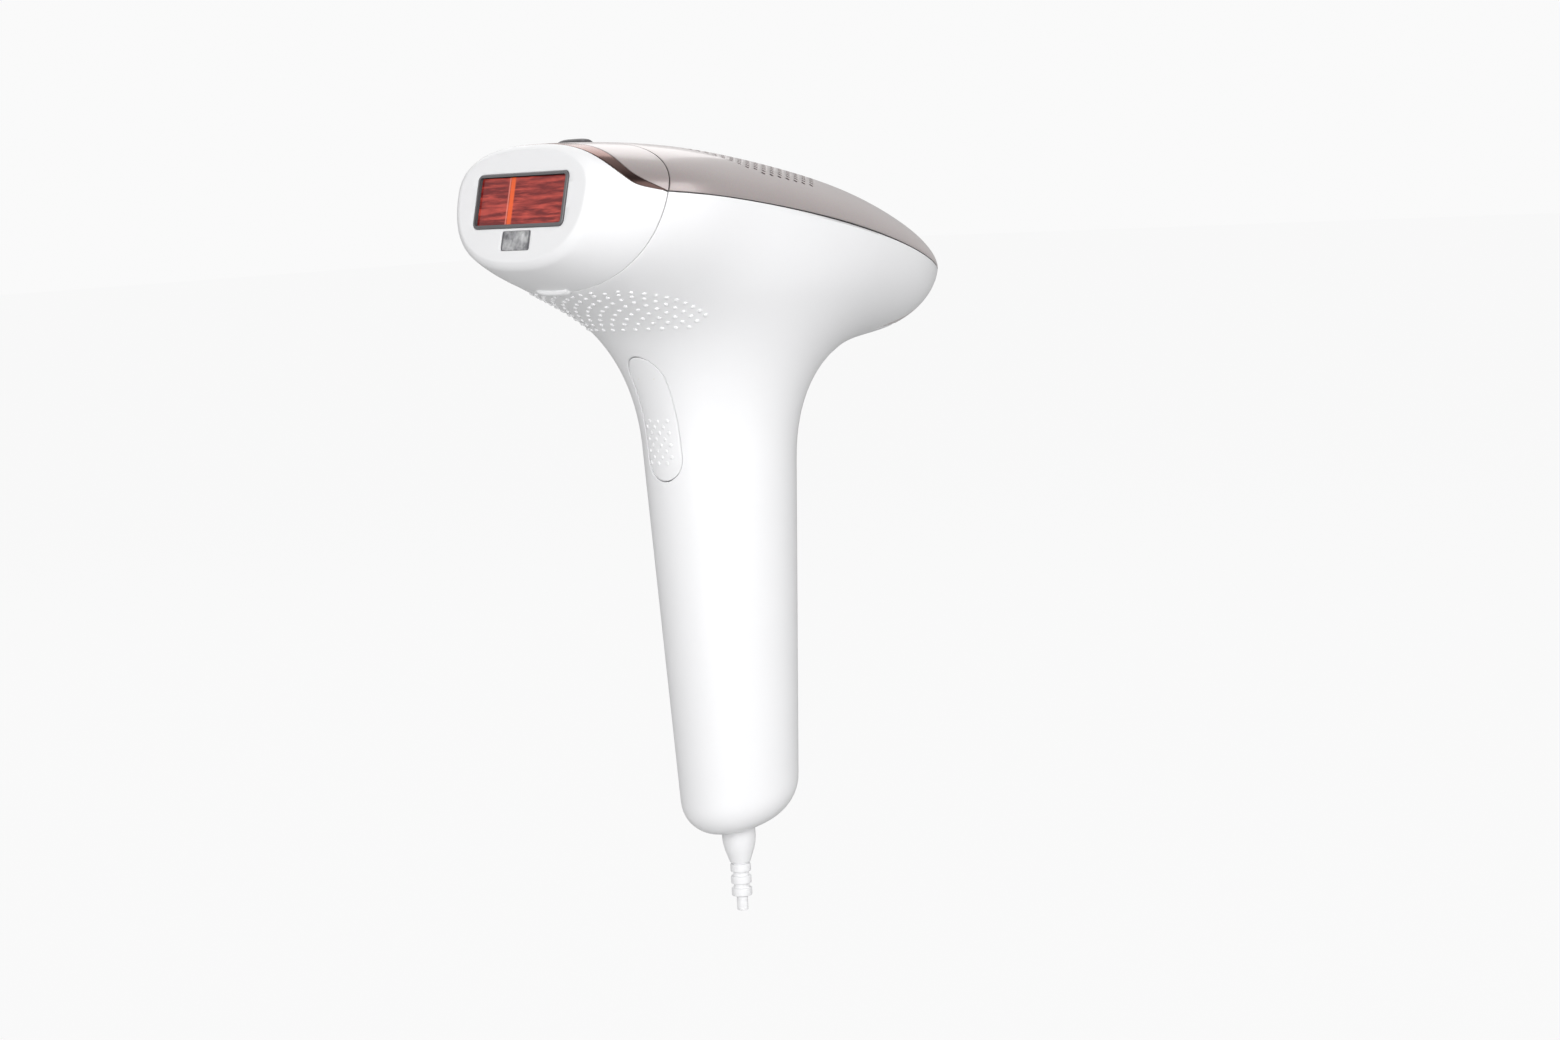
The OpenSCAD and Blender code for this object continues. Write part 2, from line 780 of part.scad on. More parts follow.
module trigger_button() {
    rings = 6;
    spokes = 36;
    r = trigger_w / 2;
    half = trigger_l / 2 - r;
    function rim(a) = [r * cos(a), r * sin(a) + (sin(a) >= 0 ? half : -half)];
    // a soft crown keeps the button's edge just under the handle's surface
    function face_point(w, a) =
        let (
            q = w * rim(a),
            p = leave([handle_x, q[0], trigger_z + q[1]], [-1, 0, 0], 5, 60)
        )
        p + [0.25 * pow(w, 6), 0, 0];
    face = [
        for (i = [1:rings]) [for (j = [0:spokes - 1]) face_point(i / rings, 360 * (j + 0.5) / spokes)]
    ];
    back = [for (ring = face) [for (p = ring) p + [trigger_thick, 0, 0]]];
    n = rings * spokes;
    function id(side, i, j) = side * n + i * spokes + j % spokes;
    quads = [
        for (i = [0:rings - 2], j = [0:spokes - 1]) each [
            [id(0, i, j), id(0, i + 1, j), id(0, i + 1, j + 1), id(0, i, j + 1)],
            [id(1, i, j), id(1, i, j + 1), id(1, i + 1, j + 1), id(1, i + 1, j)]
        ],
        for (j = [0:spokes - 1])
            [id(0, rings - 1, j + 1), id(0, rings - 1, j), id(1, rings - 1, j), id(1, rings - 1, j + 1)]
    ];
    middle = leave([handle_x, 0, trigger_z], [-1, 0, 0], 5, 60);
    color(white) polyhedron(
        points = [each [for (r = face) each r], each [for (r = back) each r], middle, middle + [trigger_thick, 0, 0]],
        faces = [
            for (q = quads) each [[q[0], q[1], q[2]], [q[0], q[2], q[3]]],
            for (j = [0:spokes - 1]) each [
                [id(0, 0, j), id(0, 0, j + 1), 2 * n],
                [id(1, 0, j + 1), id(1, 0, j), 2 * n + 1]
            ]
        ]
    );
}

module trigger_lever() {
    color("whitesmoke") difference() {
        union() {
            rod_y(hinge, lever_r, 9);
            block([lever_x - 2, -3.5, hinge[2] - 27], [lever_x, 3.5, hinge[2]]);
            block([40, -3, hinge[2] - 2], [hinge[0], 3, hinge[2] + 1]);
            block([45.6, -2.5, hinge[2] - 26], [lever_x - 1, 2.5, hinge[2] - 21]);
        }
        rod_y(hinge, hinge_pin_r + run_gap, 20);
    }
}

module trigger_pin() {
    color(steel) rod_y(hinge, hinge_pin_r, 16);
}

module trigger_spring() {
    turns = 4;
    coil_r = 2;
    wire_r = 0.28;
    x1 = lever_x + wire_r + 0.05;
    x2 = frame_x - wire_r - 0.05;
    steps = 18 * turns;
    sides = 6;
    function ring(k) = [
        for (j = [0:sides - 1])
            let (
                a = 360 * turns * k / steps,
                b = 360 * j / sides,
                r = coil_r + wire_r * cos(b)
            )
            [mix(x1, x2, k / steps) + wire_r * sin(b), r * cos(a), spring_z + r * sin(a)]
    ];
    function id(k, j) = k * sides + j % sides;
    color(steel) polyhedron(
        points = [for (k = [0:steps]) each ring(k)],
        faces = [
            [for (j = [sides - 1:-1:0]) j],
            [for (j = [0:sides - 1]) steps * sides + j],
            for (k = [0:steps - 1], j = [0:sides - 1]) each [
                [id(k, j), id(k + 1, j + 1), id(k + 1, j)],
                [id(k, j), id(k, j + 1), id(k + 1, j + 1)]
            ]
        ]
    );
}

plunger_r = 1.3;
switch_front = 50.4;
module trigger_switch() {
    color(dark) difference() {
        block([switch_front, -3, plunger_z - 3], [frame_x, 3, plunger_z + 3]);
        rod_x([switch_front - 1, 0, plunger_z], plunger_r + run_gap, 3.4);
    }
}

module switch_plunger() {
    color("ivory") rod_x([lever_x + 0.2, 0, plunger_z], plunger_r, 2.8);
}

// ---------------------------------------------------------------- handle interior

frame_thick = 1.8;
board_x = 58.4;
board_thick = 1.6;
boss_r = 2;
screw_r = 0.9;
screw_spots = [[-7, -60], [7, -60], [-7, -144], [7, -144]];

module inner_frame() {
    back = frame_x + frame_thick;
    color("lightsteelblue") difference() {
        union() {
            block([frame_x, -9, -149], [back, 9, -90]);
            block([frame_x, -11.5, -90], [back, 11.5, -40]);
            for (side = [-1, 1]) {
                block([hinge[0], side * 6.25 - 1, hinge[2] - 2.4], [frame_x, side * 6.25 + 1, hinge[2] + 2.4]);
                rod_y([hinge[0], side * 6.25, hinge[2]], 2.4, 2);
            }
            for (p = screw_spots) rod_x([back - eps, p[0], p[1]], boss_r, board_x - back + eps);
        }
        rod_y(hinge, hinge_pin_r, 30);
        for (p = screw_spots) rod_x([frame_x - 1, p[0], p[1]], screw_r + 0.02, 8);
    }
}

module main_board() {
    color("darkgreen") difference() {
        block([board_x, -9.5, -150], [board_x + board_thick, 9.5, -54]);
        for (p = screw_spots) rod_x([board_x - 1, p[0], p[1]], screw_r + 0.2, 4);
    }
}

module board_screws() {
    head_x = board_x + board_thick;
    color(steel) for (p = screw_spots) {
        rod_x([frame_x + 0.2, p[0], p[1]], screw_r, head_x - frame_x);
        difference() {
            rod_x([head_x, p[0], p[1]], 1.7, 1.1);
            block([head_x + 0.6, p[0] - 1.2, p[1] - 0.2], [head_x + 2, p[0] + 1.2, p[1] + 0.2]);
        }
    }
}

capacitor_r = 10;
capacitor_x = 72.2;
capacitor_top = -62;
capacitor_l = 48;
module flash_capacitor() {
    color("midnightblue") translate([capacitor_x, 0, capacitor_top - capacitor_l]) {
        cylinder(r = capacitor_r, h = capacitor_l - 3);
        translate([0, 0, capacitor_l - 3]) cylinder(r = capacitor_r - 0.6, h = 1.2);
        translate([0, 0, capacitor_l - 1.8]) cylinder(r = capacitor_r, h = 1.8);
    }
}

module capacitor_clip() {
    color("gray") difference() {
        union() {
            translate([capacitor_x, 0, -90]) cylinder(r = capacitor_r + 1, h = 6);
            block([board_x + board_thick, -8, -90], [capacitor_x - 3, 8, -84]);
        }
        translate([capacitor_x, 0, -91]) cylinder(r = capacitor_r + 0.02, h = 8);
    }
}

core_x = board_x + board_thick;
module transformer_core() {
    color("darkslategray") difference() {
        block([core_x, -7.5, -134], [core_x + 14, 7.5, -118]);
        difference() {
            block([core_x + 2.5, -10, -131], [core_x + 11.5, 10, -121]);
            translate([core_x + 7, 0, -135]) cylinder(r = 2.4, h = 20);
        }
    }
}

module transformer_winding() {
    color("peru") translate([core_x + 7, 0, -130.8]) difference() {
        cylinder(r = 4.4, h = 9.6);
        translate([0, 0, -1]) cylinder(r = 2.45, h = 12);
    }
}

module trigger_coil() {
    color("saddlebrown") translate([66, 0, -44]) {
        rod_y([0, 0, 0], 4.2, 13);
        for (side = [-1, 1]) rod_y([0, side * 7, 0], 5.5, 1.4);
    }
}

// ---------------------------------------------------------------- socket, plug and cord

plug_r = 4.55;
barrel_r = 2.75;
barrel_bore = 1.05;
socket_top = -151;
socket_mouth = -166.2;
plug_top = -166.6;
barrel_top = -157;

module power_socket() {
    color("black") translate([socket_x, 0, 0]) difference() {
        translate([0, 0, handle_z - 3]) cylinder(r = socket_r - 0.25, h = socket_top - handle_z + 3);
        // trimmed parallel to the handle's sloping underside
        translate([0, 0, handle_z + handle_slope * (socket_x - handle_x) + 0.3]) rotate([0, -atan(handle_slope), 0])
            translate([-20, -20, -20]) cube([40, 40, 20]);
        translate([0, 0, handle_z - 4]) cylinder(r = plug_r + 0.3, h = socket_mouth - handle_z + 4);
        translate([0, 0, handle_z - 4]) cylinder(r = barrel_r + run_gap, h = -154.5 - handle_z + 4);
    }
}

module socket_pin() {
    color("gold") translate([socket_x, 0, -163]) cylinder(r = barrel_bore - run_gap, h = 8.5);
}

module plug_barrel() {
    color(steel) translate([socket_x, 0, plug_top]) difference() {
        cylinder(r = barrel_r, h = barrel_top - plug_top);
        translate([0, 0, 1]) cylinder(r = barrel_bore, h = 12);
    }
}

rib_r = 2.75;
neck_r = 2.3;
rib_z = [-180.9, -184.2, -187.5];
rib_h = 2.2;
plug_end = rib_z[2] - rib_h;
cord_r = 1.5;
// The cord is bared to its core where it enters the plug
core_r = 1.2;
cord_end = plug_end - 4;

module plug_body() {
    color("white") translate([socket_x, 0, 0]) difference() {
        rotate_extrude() polygon([
            [0, plug_top],
            [plug_r, plug_top],
            [plug_r, -174.6],
            [plug_r - 0.15, -175.6],
            [plug_r - 0.5, -176.8],
            [neck_r + 0.55, -180],
            [neck_r, -180.6],
            for (z = rib_z) each [
                [neck_r, z], [rib_r, z - 0.15], [rib_r, z - rib_h + 0.15], [neck_r, z - rib_h]
            ],
            [0, plug_end]
        ]);
        translate([0, 0, plug_end - 1]) cylinder(r = core_r, h = 5);
    }
}

module cord() {
    color("white") translate([socket_x, 0, cord_end]) {
        cylinder(r = cord_r, h = plug_end - cord_end);
        cylinder(r = core_r, h = plug_end + 4 - cord_end);
    }
}

// ---------------------------------------------------------------- rear controls

button_r = 4;
light_r = 0.7;
panel_rise = 6.15;
light_depth = 4.5;
function panel_at() = leave([handle_x, 0, fan_hub_z(0)], along(0, panel_rise));
function panel_out() = body_normal(panel_at());
function panel_lean() = atan2(panel_out()[0], panel_out()[2]);
// The panel's own directions at the button's centre: down along the panel, across, and outwards
function panel_down() = [cos(panel_lean()), 0, -sin(panel_lean())];

module on_panel() {
    translate(panel_at()) rotate([0, panel_lean(), 0]) children();
}

// Five lights in an arc above the button, each ending just under the panel's surface
module light_rods(r, proud) {
    for (i = [-2:2]) {
        spot = 5.9 * [-cos(32 * i), sin(32 * i)];
        foot = panel_at() + spot[0] * panel_down() + [0, spot[1], 0] - light_depth * panel_out();
        top = norm(leave(foot, panel_out(), 0, 12) - foot);
        on_panel() translate([spot[0], spot[1], -light_depth]) cylinder(r = r, h = top + proud);
    }
}

module power_button() {
    color("silver") on_panel() rotate_extrude() polygon([
        [0, -3.3], [1.5, -3.3], [1.5, -2], [button_r, -2], [button_r, 0.1], [button_r - 0.5, 0.45], [0, 0.65]
    ]);
}

module level_lights() {
    color("honeydew") light_rods(light_r, -0.05);
}

module control_board() {
    color("darkgreen") on_panel() block([-6, -5, -light_depth - 1.2], [5, 5, -light_depth]);
}

main_shell();
rear_shell();
top_cover();
control_panel();
attachment_shell();
attachment_cover();
attachment_trim();
window_frame();
window_filter();
tunnel_reflector();
sensor_window();
attachment_base();
attachment_contacts();
top_tab();
bottom_tab();
front_carrier();
uv_filter();
lamp_reflector();
flash_lamp();
lamp_caps();
lamp_holders();
contact_block();
contact_pins();
skin_sensor();
fan_frame();
fan_impeller();
air_duct();
inner_frame();
trigger_pin();
trigger_button();
trigger_lever();
trigger_spring();
trigger_switch();
switch_plunger();
main_board();
board_screws();
flash_capacitor();
capacitor_clip();
transformer_core();
transformer_winding();
trigger_coil();
power_socket();
socket_pin();
plug_body();
plug_barrel();
cord();
control_board();
power_button();
level_lights();
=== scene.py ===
import json
import math

import bmesh
import bpy
import numpy as np
from mathutils import Matrix, Vector


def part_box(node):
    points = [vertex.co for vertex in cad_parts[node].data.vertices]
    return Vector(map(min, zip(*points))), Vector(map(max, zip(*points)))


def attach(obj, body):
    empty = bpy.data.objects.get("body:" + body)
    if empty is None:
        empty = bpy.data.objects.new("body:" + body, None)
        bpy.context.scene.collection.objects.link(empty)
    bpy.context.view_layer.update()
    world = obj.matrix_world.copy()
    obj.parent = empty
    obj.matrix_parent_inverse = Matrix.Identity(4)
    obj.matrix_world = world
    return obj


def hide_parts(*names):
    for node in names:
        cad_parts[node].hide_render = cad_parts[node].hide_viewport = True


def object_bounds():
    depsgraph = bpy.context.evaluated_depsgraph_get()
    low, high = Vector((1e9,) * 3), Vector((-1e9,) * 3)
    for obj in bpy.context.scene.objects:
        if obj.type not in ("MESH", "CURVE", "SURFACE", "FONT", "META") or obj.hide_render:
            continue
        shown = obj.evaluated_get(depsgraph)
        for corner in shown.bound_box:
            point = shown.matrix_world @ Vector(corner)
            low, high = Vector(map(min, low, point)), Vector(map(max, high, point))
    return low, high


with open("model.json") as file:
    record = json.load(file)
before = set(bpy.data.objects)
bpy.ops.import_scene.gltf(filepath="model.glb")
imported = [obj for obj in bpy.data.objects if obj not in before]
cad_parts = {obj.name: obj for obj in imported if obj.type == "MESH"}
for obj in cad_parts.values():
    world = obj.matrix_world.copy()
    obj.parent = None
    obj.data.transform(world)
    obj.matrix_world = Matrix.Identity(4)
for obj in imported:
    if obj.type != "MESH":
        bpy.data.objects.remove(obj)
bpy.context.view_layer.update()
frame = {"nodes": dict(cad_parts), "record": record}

# Lengths below are in millimetres unless a name says otherwise
MM = 0.001

# ---------------------------------------------------------------- dimensions, as in the part's source

HEAD_TILT = 14.6
HEAD_L = 143.8
HEAD_HALF_W = 38.0
FACE_HALF_W = 24.3
RIM_S = 17.5
HANDLE_X = 65.85
HANDLE_TOP_R = 23.7
HANDLE_LOW_R = 16.55
HANDLE_FLATNESS = 0.88
HANDLE_Z = -169.95
WALL = 2.2
SEAM_GAP = 0.2
WINDOW_W = 33.4
WINDOW_H = 13.9
BEZEL = 0.8
TRIGGER_W = 12.0
TRIGGER_L = 33.0

SEAM_LEVEL = 4.77
SEAM_SLOPE = 0.141
SEAM_BOW = -0.0009
FACE_POWER = 2.44
RIM_POWER_UP = 2.35
RIM_POWER_DOWN = 2.2
TAIL_POWER = 1.86
RIM_LEAN = 3.25
HANDLE_ROUND = 9.4
HANDLE_SLOPE = 0.185
BLEND = 34.8
Z_TAPER_TOP = -30.0
Z_TAPER_LOW = -170.0
Z_CAP = -28.0
SPLIT_S = 138.2
SPLIT_ANGLE = 33.0
FOOT_Z = -160.5
SOCKET_R = 7.2
SOCKET_X = HANDLE_X - 1.25
Z_WIDEN = -85.0
PLATE_S = 0.3
TRIGGER_Z = -58.6
SENSOR_W = 10.6
SENSOR_H = 5.0
SENSOR_T = -10.2


def sin(angle):
    return np.sin(np.radians(angle))


def cos(angle):
    return np.cos(np.radians(angle))


def tan(angle):
    return np.tan(np.radians(angle))


def stack(*parts):
    return np.stack(np.broadcast_arrays(*[np.asarray(p, float) for p in parts]), -1)


def length(v):
    return np.linalg.norm(v, axis=-1)


def unit(v):
    return v / np.maximum(length(v), 1e-9)[..., None]


# ---------------------------------------------------------------- body surface

def seam_t(s):
    return SEAM_LEVEL + SEAM_SLOPE * (s - RIM_S) + SEAM_BOW * (s - RIM_S) ** 2


def swell(s, face, widest, at, grow, close, tip):
    """A profile that grows from the face to its widest place, then closes at the tail tip."""
    s = np.asarray(s, float)
    front = widest - (widest - face) * (np.maximum(at - s, 0) / at) ** grow
    share = (np.maximum(s - at, 0) / (HEAD_L - at)) ** close
    back = widest * np.maximum(0, 1 - share) ** (1 / tip)
    return np.where(s < at, front, back)


def half_w(s):
    return swell(s, FACE_HALF_W, HEAD_HALF_W, 36.7, 2.07, 2.9, 2.73)


def half_up(s):
    return swell(s, 11.9, 15, 50.6, 2.09, 2.86, 2.22)


def half_down(s):
    return swell(s, 18.9, 28.1, 37.8, 1.95, 3.36, 2.51)


def oval_power(s, up):
    s = np.asarray(s, float)
    rim = np.where(up, RIM_POWER_UP, RIM_POWER_DOWN)
    front = FACE_POWER + (rim - FACE_POWER) * np.clip(s / RIM_S, 0, 1)
    back = rim + (TAIL_POWER - rim) * np.clip((s - RIM_S) / (HEAD_L - RIM_S), 0, 1)
    return np.where(s < RIM_S, front, back)


def to_head(p):
    x, y, z = p[..., 0], p[..., 1], p[..., 2]
    return stack(x * cos(HEAD_TILT) - z * sin(HEAD_TILT), y, x * sin(HEAD_TILT) + z * cos(HEAD_TILT))


def from_head(p):
    s, y, t = p[..., 0], p[..., 1], p[..., 2]
    return stack(s * cos(HEAD_TILT) + t * sin(HEAD_TILT), y, -s * sin(HEAD_TILT) + t * cos(HEAD_TILT))


def head_field(p):
    h = to_head(p)
    q = h[..., 2] - seam_t(h[..., 0])
    a = np.maximum(half_w(h[..., 0]), 0.05)
    v = np.maximum(np.where(q > 0, half_up(h[..., 0]), half_down(h[..., 0])), 0.05)
    n = oval_power(h[..., 0], q > 0)
    g = ((np.abs(h[..., 1]) / a) ** n + (np.abs(q) / v) ** n) ** (1 / n)
    return np.hypot(h[..., 1], q) * (1 - 1 / np.maximum(g, 0.001))


def rounded_corner(a, b):
    return np.hypot(np.maximum(a, 0), np.maximum(b, 0)) + np.minimum(np.maximum(a, b), 0)


def handle_field(p):
    dx = p[..., 0] - HANDLE_X
    z = p[..., 2]
    taper = (z - Z_TAPER_LOW) / (Z_TAPER_TOP - Z_TAPER_LOW)
    a = np.maximum(HANDLE_LOW_R + (HANDLE_TOP_R - HANDLE_LOW_R) * taper, 3)
    g = np.hypot(dx / a, p[..., 1] / (HANDLE_FLATNESS * a))
    side = np.hypot(dx, p[..., 1]) * (1 - 1 / np.maximum(g, 0.001)) + HANDLE_ROUND
    low = (HANDLE_Z + HANDLE_SLOPE * dx - z) / math.hypot(1, HANDLE_SLOPE) + HANDLE_ROUND
    round_end = rounded_corner(side, low) - HANDLE_ROUND
    return rounded_corner(round_end, z - Z_CAP)


def body_field(p):
    a = head_field(p)
    b = handle_field(p)
    h = np.maximum(BLEND - np.abs(a - b), 0) / BLEND
    return np.minimum(a, b) - h * h * BLEND / 4


def leave(origin, direction, near=0.0, far=130.0):
    """Where rays from inside the body leave it."""
    origin, direction = np.broadcast_arrays(np.asarray(origin, float), np.asarray(direction, float))
    low = np.full(origin.shape[:-1], near)
    high = np.full(origin.shape[:-1], far)
    for _ in range(34):
        middle = (low + high) / 2
        inside = body_field(origin + direction * middle[..., None]) < 0
        low = np.where(inside, middle, low)
        high = np.where(inside, high, middle)
    return origin + direction * low[..., None]


def body_normal(p, probe=0.05):
    steps = np.eye(3) * probe
    return unit(np.stack([body_field(p + d) - body_field(p - d) for d in steps], -1))


# ---------------------------------------------------------------- meshes

SMOOTH_ANGLE = 32


def mesh_object(name, points, faces):
    """A mesh object from points in millimetres, with its normals turned outwards."""
    mesh = bpy.data.meshes.new(name)
    mesh.from_pydata([tuple(p) for p in np.asarray(points) * MM], [], faces)
    obj = bpy.data.objects.new(name, mesh)
    bpy.context.scene.collection.objects.link(obj)
    tidy(obj)
    return obj


def new_piece(name, solid, body, slot):
    """A piece that stands for the CAD node its name begins with, before the last underscore."""
    obj = mesh_object(name, *solid)
    obj.data.materials.append(look(slot))
    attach(obj, body)
    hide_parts(name.rsplit("_", 1)[0])
    return obj


def tidy(obj, merge=0.002):
    bm = bmesh.new()
    bm.from_mesh(obj.data)
    bmesh.ops.remove_doubles(bm, verts=bm.verts, dist=merge * MM)
    bmesh.ops.dissolve_degenerate(bm, edges=bm.edges, dist=0.5 * merge * MM)
    bmesh.ops.recalc_face_normals(bm, faces=bm.faces)
    bm.to_mesh(obj.data)
    bm.free()
    shade(obj)


def shade(obj):
    obj.data.shade_smooth()
    obj.data.set_sharp_from_angle(angle=math.radians(SMOOTH_ANGLE))


def grid_faces(rows, cols, ring, start=0):
    last = cols if ring else cols - 1
    return [
        (start + i * cols + j, start + i * cols + (j + 1) % cols,
         start + (i + 1) * cols + (j + 1) % cols, start + (i + 1) * cols + j)
        for i in range(rows - 1)
        for j in range(last)
    ]


def closed_shell(outer, inner, ring=False, capped=False):
    """Points and faces of a closed shell between two grids, whose first rows capped closes with fans."""
    rows, cols = outer.shape[:2]
    n = rows * cols
    points = np.concatenate([outer.reshape(-1, 3), inner.reshape(-1, 3)])
    faces = grid_faces(rows, cols, ring) + [f[::-1] for f in grid_faces(rows, cols, ring, n)]
    last = cols if ring else cols - 1
    if capped:
        points = np.concatenate([points, outer[:1].mean(1), inner[:1].mean(1)])
        for j in range(last):
            k = (j + 1) % cols
            faces.append((2 * n, k, j))
            faces.append((2 * n + 1, n + j, n + k))
    else:
        faces += [((j + 1) % cols, j, n + j, n + (j + 1) % cols) for j in range(last)]
    base = (rows - 1) * cols
    faces += [(base + j, base + (j + 1) % cols, n + base + (j + 1) % cols, n + base + j) for j in range(last)]
    if not ring:
        for i in range(rows - 1):
            a, b = i * cols, (i + 1) * cols
            faces.append((a, b, n + b, n + a))
            a, b = a + cols - 1, b + cols - 1
            faces.append((b, a, n + a, n + b))
    return points, faces


ROUND_STEPS = 5
SEAM_ROUND = 0.2


def rounded_ends(data, axis, ends=(True, True)):
    """Adds rows close to a grid's ends, and returns it with each row's depth below the surface."""
    g = np.moveaxis(data, axis, 0)
    theta = np.linspace(90, 0, ROUND_STEPS + 1)

    def end_rows(edge, following):
        reach = SEAM_ROUND * (1 - sin(theta))
        span = np.maximum(length(following[..., :3] - edge[..., :3]), 1e-6)
        share = np.minimum(reach.reshape(-1, *[1] * span.ndim) / span, 0.8)
        return edge + (following - edge) * share[..., None]

    depth = SEAM_ROUND * (1 - cos(theta))
    first = end_rows(g[0], g[1]) if ends[0] else g[:1]
    final = end_rows(g[-1], g[-2])[::-1] if ends[1] else g[-1:]
    first_depth = depth if ends[0] else [0.0]
    final_depth = depth[::-1] if ends[1] else [0.0]
    rows = np.concatenate([first, g[1:-1], final])
    return np.moveaxis(rows, 0, axis), np.concatenate([first_depth, np.zeros(len(g) - 2), final_depth])


def rounded_shell(grid, normals, inner_of, limit=None):
    """A closed shell under a grid of surface points, its edges rounded over, its inner wall by inner_of."""
    data, row_depth = rounded_ends(np.concatenate([grid, normals], -1), 0)
    data, col_depth = rounded_ends(data, 1)
    surface, n = data[..., :3], unit(data[..., 3:])
    depth = np.minimum(row_depth[:, None] + col_depth[None, :], 1.2 * SEAM_ROUND)
    if limit is not None:
        depth = np.minimum(depth, limit(surface))
    return closed_shell(surface - n * depth[..., None], inner_of(surface, n))


def grid_normals(grid, outward, ring=False):
    """Normals of a grid from its own differences, pointing the way outward does."""
    if ring:
        around = np.roll(grid, -1, 1) - np.roll(grid, 1, 1)
    else:
        around = np.gradient(grid, axis=1)
    n = unit(np.cross(np.gradient(grid, axis=0), around))
    return n * np.where((n * outward).sum(-1) < 0, -1, 1)[..., None]


def joined(parts):
    """One list of points and faces from several."""
    points, faces, start = [], [], 0
    for p, f in parts:
        points.append(np.asarray(p))
        faces += [tuple(start + k for k in face) for face in f]
        start += len(p)
    return np.concatenate(points), faces


def boolean(obj, parts, operation):
    """Cuts closed solids from an object, or joins them to it."""
    tool = mesh_object("tool", *joined(parts))
    m = obj.modifiers.new("tool", "BOOLEAN")
    m.operation = operation
    m.solver = "MANIFOLD"
    m.object = tool
    depsgraph = bpy.context.evaluated_depsgraph_get()
    mesh = bpy.data.meshes.new_from_object(obj.evaluated_get(depsgraph))
    obj.modifiers.clear()
    old = obj.data
    obj.data = mesh
    bpy.data.meshes.remove(old)
    bpy.data.objects.remove(tool)
    shade(obj)


def cut(obj, parts):
    boolean(obj, parts, "DIFFERENCE")


def add(obj, parts):
    boolean(obj, parts, "UNION")


def tube(rings):
    """A closed solid through a stack of rings, with a fan over each end."""
    rings = np.asarray(rings)
    rows, cols = rings.shape[:2]
    points = np.concatenate([rings.reshape(-1, 3), rings[:1].mean(1), rings[-1:].mean(1)])
    faces = grid_faces(rows, cols, True)
    top, base = rows * cols, (rows - 1) * cols
    for j in range(cols):
        k = (j + 1) % cols
        faces.append((top, k, j))
        faces.append((top + 1, base + j, base + k))
    return points, faces


def swept_ring(rings):
    """A closed band whose rings follow one another and join up, such as a frame's moulding."""
    rings = np.asarray(rings)
    rows, cols = rings.shape[:2]
    closed = np.concatenate([rings, rings[:1]]).reshape(-1, 3)
    return closed, grid_faces(rows + 1, cols, True)


def frame_of(normal):
    n = unit(np.asarray(normal, float))
    side = np.where(np.abs(n[..., 2:]) > 0.9, [1.0, 0.0, 0.0], [0.0, 0.0, 1.0])
    u = unit(np.cross(side, n))
    return u, np.cross(n, u), n


def turned(profile, centre, axes, sides):
    """A solid turned about the last of three axes, from (radius, lift) points that end near it."""
    u, v, n = axes
    a = np.arange(sides)[:, None] * 360 / sides
    return tube([centre + n * lift + r * (cos(a) * u + sin(a) * v) for r, lift in profile])


def on_surface(at, profile, sides):
    """The same turned solid at each point of the body's surface."""
    axes = np.stack(frame_of(body_normal(at)), 1)
    return [turned(profile, p, a, sides) for p, a in zip(at, axes)]


def pip(radius, height, steps=4):
    """Profile of a low round pip that reaches into the surface."""
    turns = np.arange(steps + 1) / steps
    return [(radius, -0.3)] + [(radius * cos(82 * k), height * sin(90 * k)) for k in turns]


def hole(radius, low, high, flare):
    """Profile of a round cutter that widens by flare just under the surface."""
    return [(radius, low), (radius, -1.2 * flare), (radius + 0.3 * flare, -0.35 * flare),
            (radius + flare, 0), (radius + flare, high)]


def outline(w, h, r, corner_steps=8):
    """Rounded rectangle as (y, t) points."""
    points = []
    for k, (y, t) in enumerate([(1, 1), (-1, 1), (-1, -1), (1, -1)]):
        a = 90 * k + np.linspace(0, 90, corner_steps + 1)
        points.append(stack(y * (w / 2 - r) + r * cos(a), t * (h / 2 - r) + r * sin(a)))
    return np.concatenate(points)


def outline_ring(w, h, r, inset, s, t=0.0):
    q = outline(w - 2 * inset, h - 2 * inset, max(r - inset, 0.12))
    return from_head(stack(s, q[:, 0], q[:, 1] + t))


def soft_profile(points, radius=0.25, steps=4):
    """Rounds the corners of a (radius, z) profile."""
    points = [np.array(p, float) for p in points]
    out = [points[0]]
    for before, corner, after in zip(points, points[1:], points[2:]):
        r = min(radius, 0.45 * np.linalg.norm(before - corner), 0.45 * np.linalg.norm(after - corner))
        start = corner + unit(before - corner) * r
        end = corner + unit(after - corner) * r
        for w in np.linspace(0, 1, steps + 1):
            out.append((1 - w) ** 2 * start + 2 * w * (1 - w) * corner + w * w * end)
    out.append(points[-1])
    return out


# ---------------------------------------------------------------- materials

def feed(tree, node, inputs):
    """Sets inputs of a node, each to a value or to another node's output."""
    for name, value in inputs.items():
        socket = node.inputs[name]
        if isinstance(value, bpy.types.NodeSocket):
            tree.links.new(value, socket)
        elif socket.type == "RGBA":
            socket.default_value = (*value, 1)
        else:
            socket.default_value = value


def add_node(tree, kind, inputs, **settings):
    """A new node with its settings and inputs."""
    node = tree.nodes.new("ShaderNode" + kind)
    for name, value in settings.items():
        setattr(node, name, value)
    feed(tree, node, inputs)
    return node


def new_look(name):
    """A material, its node tree and the object's own coordinates in it."""
    mat = bpy.data.materials.new(name + "_look")
    mat.use_nodes = True
    return mat, mat.node_tree, add_node(mat.node_tree, "TexCoord", {}).outputs["Object"]


def principled(tree, inputs):
    feed(tree, tree.nodes["Principled BSDF"], inputs)


